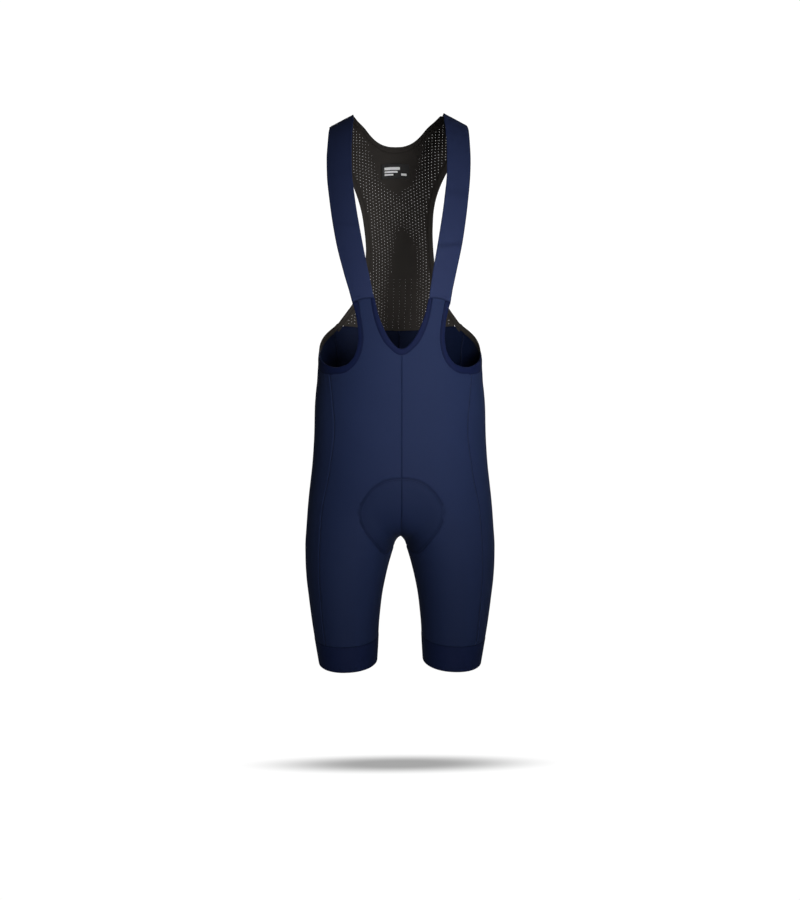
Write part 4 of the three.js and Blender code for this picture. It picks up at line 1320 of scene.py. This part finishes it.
@dataclass
class OpenKnitBack:
    """Black back panel, knitted in six-sided cells with a round hole in most of them."""

    form: Form
    pattern: Pattern
    wardrobe: Wardrobe
    column_pitch: float = 5.3
    row_pitch: float = 5.5
    hole: float = 1.2  # radius of a hole at each face
    small_hole: float = 0.55
    throat: float = 0.34  # share of that radius left open half way through
    throat_depth: float = 0.8  # how far each face falls towards the middle at the throat, as a share
    least_open: float = 0.62  # share of the radius beside a solid patch, which grows to 1 over the fade
    fade: float = 18.0
    dotted_below: float = -262.0  # the spine has rows of small holes below this height
    strays: float = 3.3  # cells whose middle lies further outside than this are left out
    shoulder_x: float = 60.0  # where lengths of cloth are measured down the back
    lowest_root: float = 19.4  # root of the drop that those lengths reach
    margin: float = 3.6  # knitted solid beside the bands
    tucked: float = 2.0  # how far its sides run on under the bands
    outer: float = -0.25
    inner: float = -1.15
    flat: tuple[float, float] = (0.24, 0.33)
    area: float = 0.045
    neck_patch: tuple[tuple[float, float, float], ...] = (
        (-34, -50, 52), (-42, -44, 46), (-60, -37, 40), (-85, -30, 33), (-97, -20, 25), (-107, -7, 12),
        (-113, 0, 3))
    spine_patch: tuple[tuple[float, float, float], ...] = (
        (-174, 3, 7), (-190, -4, 20), (-205, -9, 28), (-243, -14, 31), (-284, -23, 33), (-365, -25, 34))

    def height_line(self) -> tuple[Array, Array]:
        """Heights, and the length of cloth from the shoulder line down to each."""
        z = -np.linspace(self.pattern.strap_end, self.lowest_root, 900) ** 2
        line = self.form.at(self.form.place_at(np.full(z.shape, self.shoulder_x), z, True), z)
        steps = np.linalg.norm(np.diff(line, axis=0), axis=-1)
        return z, np.concatenate([[0], np.cumsum(steps)])

    def outline(self, x: Array, z: Array) -> tuple[Array, Array]:
        """Move points that lie outside the panel on to its outline."""
        pattern, form = self.pattern, self.form
        t = np.linspace(0, 1, 60)
        u, neck_z = pattern.scoop_at(t, pattern.scoop_band)
        neck_x = form.at(u, neck_z)[..., 0]
        seam_u = np.linspace(pattern.seam_u[0], 1, 60)[::-1]
        seam_z = pattern.back_seam(seam_u)
        seam_x = form.at(seam_u, seam_z)[..., 0]
        size = np.abs(x)
        for _ in range(3):
            size = np.minimum(size, pattern.back_edge(z) - pattern.band + self.tucked)
            z = np.minimum(z, np.interp(size, neck_x, neck_z))
            z = np.maximum(z, np.interp(size, seam_x, seam_z))
        return np.sign(x) * size, z

    def cells(self) -> tuple[Array, Array, Array]:
        """Middles of the cells that lie on the panel, and each cell's height from its cloth length."""
        z_line, length = self.height_line()
        i, j = np.meshgrid(np.arange(-24, 25), np.arange(-2, 82), indexing="ij")
        x = (i * self.column_pitch).ravel()
        v = (j * self.row_pitch + (i % 2) * self.row_pitch / 2).ravel()
        z = np.interp(v, length, z_line)
        held_x, held_z = self.outline(x, z)
        near = np.hypot(x - held_x, np.interp(-held_z, -z_line, length) - v) < self.strays
        return x[near], v[near], i.ravel()[near]

    def beyond(self, rows: tuple[tuple[float, float, float], ...], x: Array, height: Array) -> Array:
        """How far points lie outside a solid patch, whose rows give height, left and right."""
        table = np.array(rows, float)[::-1]
        low = np.interp(height, table[:, 0], table[:, 1])
        high = np.interp(height, table[:, 0], table[:, 2])
        beside = np.maximum(np.maximum(low - x, x - high), 0)
        past = np.maximum(np.maximum(table[0, 0] - height, height - table[-1, 0]), 0)
        return np.hypot(beside, past)

    def make(self) -> None:
        """Build the panel.

        Each cell has three rings of twelve points: its rim, with six corners and the middles of its sides,
        which neighbours share; its hole at the faces; and the hole's throat. Where the cell is solid, the
        last two fall together in one point.
        """
        z_line, length = self.height_line()
        x, v, column = self.cells()
        w, h = self.column_pitch, self.row_pitch
        side = (w * w + h * h / 4) / 2
        near, far = (side - h * h / 4) / w, side / w
        corners = np.array([[far, 0], [near, h / 2], [-near, h / 2], [-far, 0], [-near, -h / 2], [near, -h / 2]])
        rim = np.stack([corners, (corners + np.roll(corners, -1, axis=0)) / 2], 1).reshape(-1, 2)
        angle = np.arctan2(rim[:, 1], rim[:, 0])
        ring = np.stack([np.cos(angle), np.sin(angle)], -1)

        middle_z = np.interp(v, length, z_line)
        held_x, held_z = self.outline(x, middle_z)
        here = self.form.at(self.form.place_at(np.abs(held_x), held_z, True), held_z)
        spine = self.beyond(self.spine_patch, x, here[:, 2])
        outside = np.minimum(self.beyond(self.neck_patch, x, here[:, 2]), spine)
        probe = ring * (self.hole + self.margin)
        px, pv = x[:, None] + probe[:, 0], v[:, None] + probe[:, 1]
        pz = np.interp(pv, length, z_line)
        inside_x, inside_z = self.outline(px, pz)
        edge = np.any(np.hypot(inside_x - px, inside_z - pz) > 0.05, axis=1)
        dotted = (spine < 0.01) & (here[:, 2] < self.dotted_below) & (column % 2 == 0) & ~edge
        open_radius = self.hole * mix(self.least_open, 1.0, ease(outside / self.fade))
        radius = np.where(dotted, self.small_hole, np.where((outside < 0.01) | edge, 0.0, open_radius))

        rim_points = np.stack([x[:, None] + rim[:, 0], v[:, None] + rim[:, 1]], -1)
        centres = np.stack([x, v], -1)[:, None]
        rings = [centres + ring * (radius * share)[:, None, None] for share in (1, self.throat)]
        flat = np.concatenate([rim_points, *rings], 1)
        count = len(x)
        n = len(rim)
        k = np.arange(n)
        one = []
        for row in (0, n):
            a, b, c, d = k + row, (k + 1) % n + row, (k + 1) % n + row + n, k + row + n
            one += [np.stack([a, b, c], -1), np.stack([a, c, d], -1)]
        triangles = (np.concatenate(one)[None] + 3 * n * np.arange(count)[:, None, None]).reshape(-1, 3)
        throat = np.tile(np.repeat([0.0, 0.0, 1.0], n), count) * np.repeat(radius > 0, 3 * n)

        points = flat.reshape(-1, 2)
        z = np.interp(points[:, 1], length, z_line)
        on_x, on_z = self.outline(points[:, 0], z)
        u = self.form.place_at(np.abs(on_x), on_z, True)
        at, out = self.form.at(u, on_z), self.form.outward(u, on_z)
        sign = np.where(on_x < 0, -1.0, 1.0)
        at[:, 0] *= sign
        out[:, 0] *= sign
        at = Sway().moved(at)
        middle = (self.outer + self.inner) / 2
        faces = [mix(face, middle, self.throat_depth * throat) for face in (self.outer, self.inner)]
        piece = closed_sheet("back_open_knit", at, out, faces, triangles, points * MM)
        self.wardrobe.dress(piece, self.wardrobe.black, Slot.BLACK_KNIT, ["back_mesh"])


@dataclass
class Label:
    """Woven label inside the back neck, with plain bars for marks."""

    form: Form
    wardrobe: Wardrobe
    width: float = 50.0
    top: float = -78.5
    bottom: float = -98.0
    depth: float = -2.4  # its outer face lies this far inside the form
    thickness: float = 0.8
    flat: tuple[float, float] = (0.05, 0.026)
    bars_height: float = 26.0  # the height of label that the bars' heights are given for
    bars: tuple[tuple[float, float, float, float], ...] = (
        # Middle and half size of each bar, across and up, from the label's middle.
        (-6.0, 4.6, 14.0, 2.5), (-8.0, -1.2, 12.0, 1.5), (-12.0, -6.0, 8.0, 1.4), (15.0, -5.4, 5.0, 2.0))

    def patch(self, x: Array, z: Array) -> Patch:
        """Places that lie x from the middle, at height z, on the back."""
        x, z = np.broadcast_arrays(x, z)
        patch = Patch.on(self.form, self.form.place_at(np.abs(x), z, True), z)
        sign = np.where(x < 0, -1.0, 1.0)[..., None] * [1, 0, 0] + [0, 1, 1]
        return Sway().on(Patch(patch.u, patch.z, patch.at * sign, patch.out * sign))

    def make(self) -> None:
        """Build the label's plate, and its bars in one piece with the plate's own curve."""
        x = self.width * (fine_ends(41, 0.6) - 0.5)[None, :]
        z = mix(self.bottom, self.top, fine_ends(21, 0.6))[:, None]
        patch = self.patch(x, z)
        across, along = patch.across(), patch.along()
        total = across[:, -1:]
        body = np.minimum(rounded(across, total, 0.5), rounded(along, along[-1:], 0.5)) * self.thickness / 2
        middle = self.depth - self.thickness / 2
        stitch = 0.5 * bell(np.minimum(across, total - across) - 1.5, 0.5)
        marks = {"stitch": stitch, "shade": 0 * across}
        plate = shell("label_cloth", patch, middle + body, middle - body, marks)
        self.wardrobe.dress(plate, self.wardrobe.grey, Slot.LABEL_GREY, ["label"])
        centre = (self.top + self.bottom) / 2
        scale = (self.top - self.bottom) / self.bars_height
        for number, (cx, cz, half_x, half_z) in enumerate(self.bars, 1):
            bar_x = np.linspace(cx - half_x, cx + half_x, 12)[None, :]
            bar_z = centre + scale * np.linspace(cz - half_z, cz + half_z, 4)[:, None]
            patch = self.patch(bar_x, bar_z)
            face = self.depth - self.thickness
            zero = np.zeros(patch.u.shape)
            bar = shell(f"label_bar_{number}", patch, zero + face + 0.1, zero + face - 0.12,
                        {"stitch": zero, "shade": zero})
            self.wardrobe.dress(bar, self.wardrobe.mark, Slot.LABEL_GREY, [])


# ---- Seat pad ----


@dataclass
class SeatPad:
    """Padded insert between the legs, inside the shorts."""

    form: Form
    wardrobe: Wardrobe
    outer: float = -4.4
    thickness: float = 4.0
    outline_z: tuple[float, ...] = (-738, -734, -726, -705, -685, -656, -634, -617.5, -607.5, -603.5)
    outline_x: tuple[float, ...] = (0, 26, 37, 51.5, 62.5, 71.5, 59.5, 44.5, 27, 0)
    back: float = 1.1

    def make(self) -> None:
        """Build both halves and both faces in one closed form.

        Its four quarters are grids from the middle line out to the edge, merged where they meet: left and
        right above the crotch, front and back on the inside of each leg. The thickness falls to a thin
        edge, and channels run its length.
        """
        edge_x = Curve(self.outline_z, self.outline_x)
        z = np.concatenate([np.linspace(-737.6, -712, 20), np.linspace(-710, -604.2, 66)])
        edge = self.form.place_at(edge_x(z), z)
        s = np.concatenate([np.linspace(0, 0.9, 26), [0.93, 0.955, 0.975, 0.99, 1.0]])
        rows, columns = len(z), len(s)
        share, height = np.broadcast_arrays(s[None, :], np.linspace(0, 1, rows)[:, None])
        rim = ease((1 - share) / 0.18) * ease((1 - height) / 0.10)
        channel = 1.3 * bell(share - 0.42, 0.035) + 0.9 * bell(share - 0.75, 0.03)
        body = np.maximum(mix(0.25, 1.0, rim) * self.thickness - channel * rim, 0.8)
        net = grid_net(np.arange(rows * columns).reshape(rows, columns))
        quarters = []
        for reach, back in ((1.0, False), (self.back, True)):
            u = s * reach * edge[:, None]
            quarter = Patch.on(self.form, 1 - u if back else u, z[:, None])
            quarters += [quarter, quarter.mirrored()]
        at = np.concatenate([q.at.reshape(-1, 3) for q in quarters])
        out = np.concatenate([q.out.reshape(-1, 3) for q in quarters])
        cloth = np.concatenate([np.stack([q.across(), q.along()], -1).reshape(-1, 2) for q in quarters]) * MM
        triangles = np.concatenate([net + k * rows * columns for k in range(len(quarters))])
        thickness = np.tile(body.ravel(), len(quarters))
        # shade: painted shade towards the pad's thin edge
        marks = {"stitch": np.tile((0.5 * bell(share - 0.42, 0.02)).ravel(), len(quarters)),
                 "shade": np.tile((0.4 * (1 - rim)).ravel(), len(quarters))}
        faces = [np.full(thickness.shape, self.outer), self.outer - thickness]
        piece = closed_sheet("seat_pad_insert", at, out, faces, triangles, cloth, marks)
        self.wardrobe.dress(piece, self.wardrobe.pad, Slot.PAD_CLOTH, ["seat_pad"])


# ---- Studio ----


@dataclass
class Studio:
    """Camera, soft light and a plain pale floor with a painted shadow."""

    distance: float = 2.236
    azimuth: float = -1.5
    elevation: float = 5.0
    target: tuple[float, float, float] = (0.0, 0.0, -0.56555)
    lens: float = 51.11
    floor: float = -1.129
    floor_half: float = 14.0
    shadow: tuple[float, float] = (0.31, 0.06)  # the painted shadow's unit lengths along x and y
    shadow_ramp: tuple[float, ...] = (0.2, 1.0, 0.385, 1.02)  # painted shadow: from, to, and the brightness at each
    seen_strength: float = 1.05
    given_colour: tuple[float, float, float] = (0.82, 0.92, 1.0)
    given_strength: float = 0.065
    lamps: tuple[tuple, ...] = (
        # Name, azimuth, height, distance, size, power, and for some what they aim at and their spread.
        ("key", 20, -0.28, 1.15, (0.4, 0.35), 1.35, -0.36, 62),
        ("side", 80, -0.35, 2.0, (0.8, 1.2), 3),
        ("fill", 0, -1.0, 2.4, (0.8, 0.8), 2.3, -0.9, 55),
        ("overhead", 0, 1.6, 0.8, (2.4, 2.4), 0.5),
        ("behind", 184, 0.3, 2.4, (1.4, 1.4), 30))

    def camera(self) -> None:
        """Camera that looks at the target from the front, a little above level."""
        data = bpy.data.cameras.new("camera")
        data.lens = self.lens
        data.sensor_fit = "VERTICAL"
        data.sensor_height = 36.0
        data.clip_end = 50.0
        camera = bpy.data.objects.new("camera", data)
        az, el = math.radians(self.azimuth), math.radians(self.elevation)
        back = Vector((math.sin(az) * math.cos(el), -math.cos(az) * math.cos(el), math.sin(el)))
        right = Vector((math.cos(az), math.sin(az), 0.0))
        up = back.cross(right)
        place = Vector(self.target) + back * self.distance
        camera.matrix_world = Matrix.Translation(place) @ Matrix((right, up, back)).transposed().to_4x4()
        bpy.context.scene.collection.objects.link(camera)
        bpy.context.scene.camera = camera

    def light(self, name: str, azimuth: float, height: float, distance: float, size: tuple[float, float],
              power: float, aim: float = -0.5, spread: float = 180.0) -> None:
        """Soft box aimed at the garment.

        Args:
            name: The light's name.
            azimuth: Degrees from the front, towards +X.
            height: Height of its middle.
            distance: From the garment's axis.
            size: Width and height of its face.
            power: Watts.
            aim: Height on the axis it points at.
            spread: Angle of its beam in degrees.
        """
        data = bpy.data.lights.new(name, "AREA")
        data.shape = "RECTANGLE"
        data.size, data.size_y = size
        data.energy = power
        data.spread = math.radians(spread)
        lamp = bpy.data.objects.new(name, data)
        az = math.radians(azimuth)
        lamp.location = (math.sin(az) * distance, -math.cos(az) * distance, height)
        way = Vector((0, 0, aim)) - lamp.location
        lamp.rotation_euler = way.to_track_quat("-Z", "Y").to_euler()
        bpy.context.scene.collection.objects.link(lamp)

    def world(self) -> None:
        """White surroundings that give the garment only a little light of their own."""
        world = bpy.data.worlds.new("surroundings")
        world.use_nodes = True
        nodes, links = world.node_tree.nodes, world.node_tree.links
        seen = nodes["Background"]
        seen.inputs["Color"].default_value = (1.0, 1.0, 1.0, 1)
        seen.inputs["Strength"].default_value = self.seen_strength
        given = nodes.new("ShaderNodeBackground")
        given.inputs["Color"].default_value = (*self.given_colour, 1)
        given.inputs["Strength"].default_value = self.given_strength
        path = nodes.new("ShaderNodeLightPath")
        pick = nodes.new("ShaderNodeMixShader")
        links.new(path.outputs["Is Camera Ray"], pick.inputs[0])
        links.new(given.outputs[0], pick.inputs[1])
        links.new(seen.outputs[0], pick.inputs[2])
        links.new(pick.outputs[0], nodes["World Output"].inputs[0])
        bpy.context.scene.world = world

    def ground(self) -> None:
        """Plain pale floor that only glows, and glows less in a soft oval under the garment: a painted shadow,
        not one cast by the lamps.
        """
        mesh = bpy.data.meshes.new("floor")
        s = self.floor_half
        corners = [(-s, -s, self.floor), (s, -s, self.floor), (s, s, self.floor), (-s, s, self.floor)]
        mesh.from_pydata(corners, [], [(0, 1, 2, 3)])
        floor = bpy.data.objects.new("floor", mesh)
        material = bpy.data.materials.new("pale floor")
        material.use_nodes = True
        shader = material.node_tree.nodes["Principled BSDF"]
        shader.inputs["Base Color"].default_value = (0, 0, 0, 1)
        shader.inputs["Roughness"].default_value = 0.9
        shader.inputs["Specular IOR Level"].default_value = 0.0
        shader.inputs["Emission Color"].default_value = (1, 1, 1, 1)
        nodes, links = material.node_tree.nodes, material.node_tree.links
        kinds = ("TexCoord", "VectorMath", "VectorMath", "MapRange")
        place, scaled, length, spread = (nodes.new(f"ShaderNode{kind}") for kind in kinds)
        scaled.operation, length.operation = "DIVIDE", "LENGTH"
        scaled.inputs[1].default_value = (*self.shadow, 1000)
        spread.interpolation_type = "SMOOTHSTEP"
        for socket, value in zip(spread.inputs[1:5], self.shadow_ramp):
            socket.default_value = value
        links.new(place.outputs["Object"], scaled.inputs[0])
        links.new(scaled.outputs[0], length.inputs[0])
        links.new(length.outputs["Value"], spread.inputs[0])
        links.new(spread.outputs[0], shader.inputs["Emission Strength"])
        mesh.materials.append(material)
        floor.visible_diffuse = False
        floor.visible_glossy = False
        bpy.context.scene.collection.objects.link(floor)

    def make(self) -> None:
        """Set up everything round the garment."""
        self.camera()
        self.world()
        self.ground()
        for lamp in self.lamps:
            self.light(*lamp)
        bpy.context.scene.view_settings.view_transform = "Standard"


def main() -> None:
    """Build the studio and every piece in order."""
    logging.basicConfig(level=logging.INFO, format="%(name)s: %(message)s")
    form = Form()
    pattern = Pattern(form)
    wardrobe = Wardrobe()
    sewing = Sewing()
    Studio().make()
    for panel in (FrontPanel, SidePanel, BackPanel):
        for side in Side:
            panel(form, pattern, sewing, wardrobe).make(side)
    for side in Side:
        LegBand(form, wardrobe).make(side)
    Bindings(form, pattern, wardrobe).make()
    BackBands(form, pattern, wardrobe).make()
    Straps(form, pattern, wardrobe).make()
    OpenKnitBack(form, pattern, wardrobe).make()
    Label(form, wardrobe).make()
    SeatPad(form, wardrobe).make()


if __name__ == "__main__":
    main()
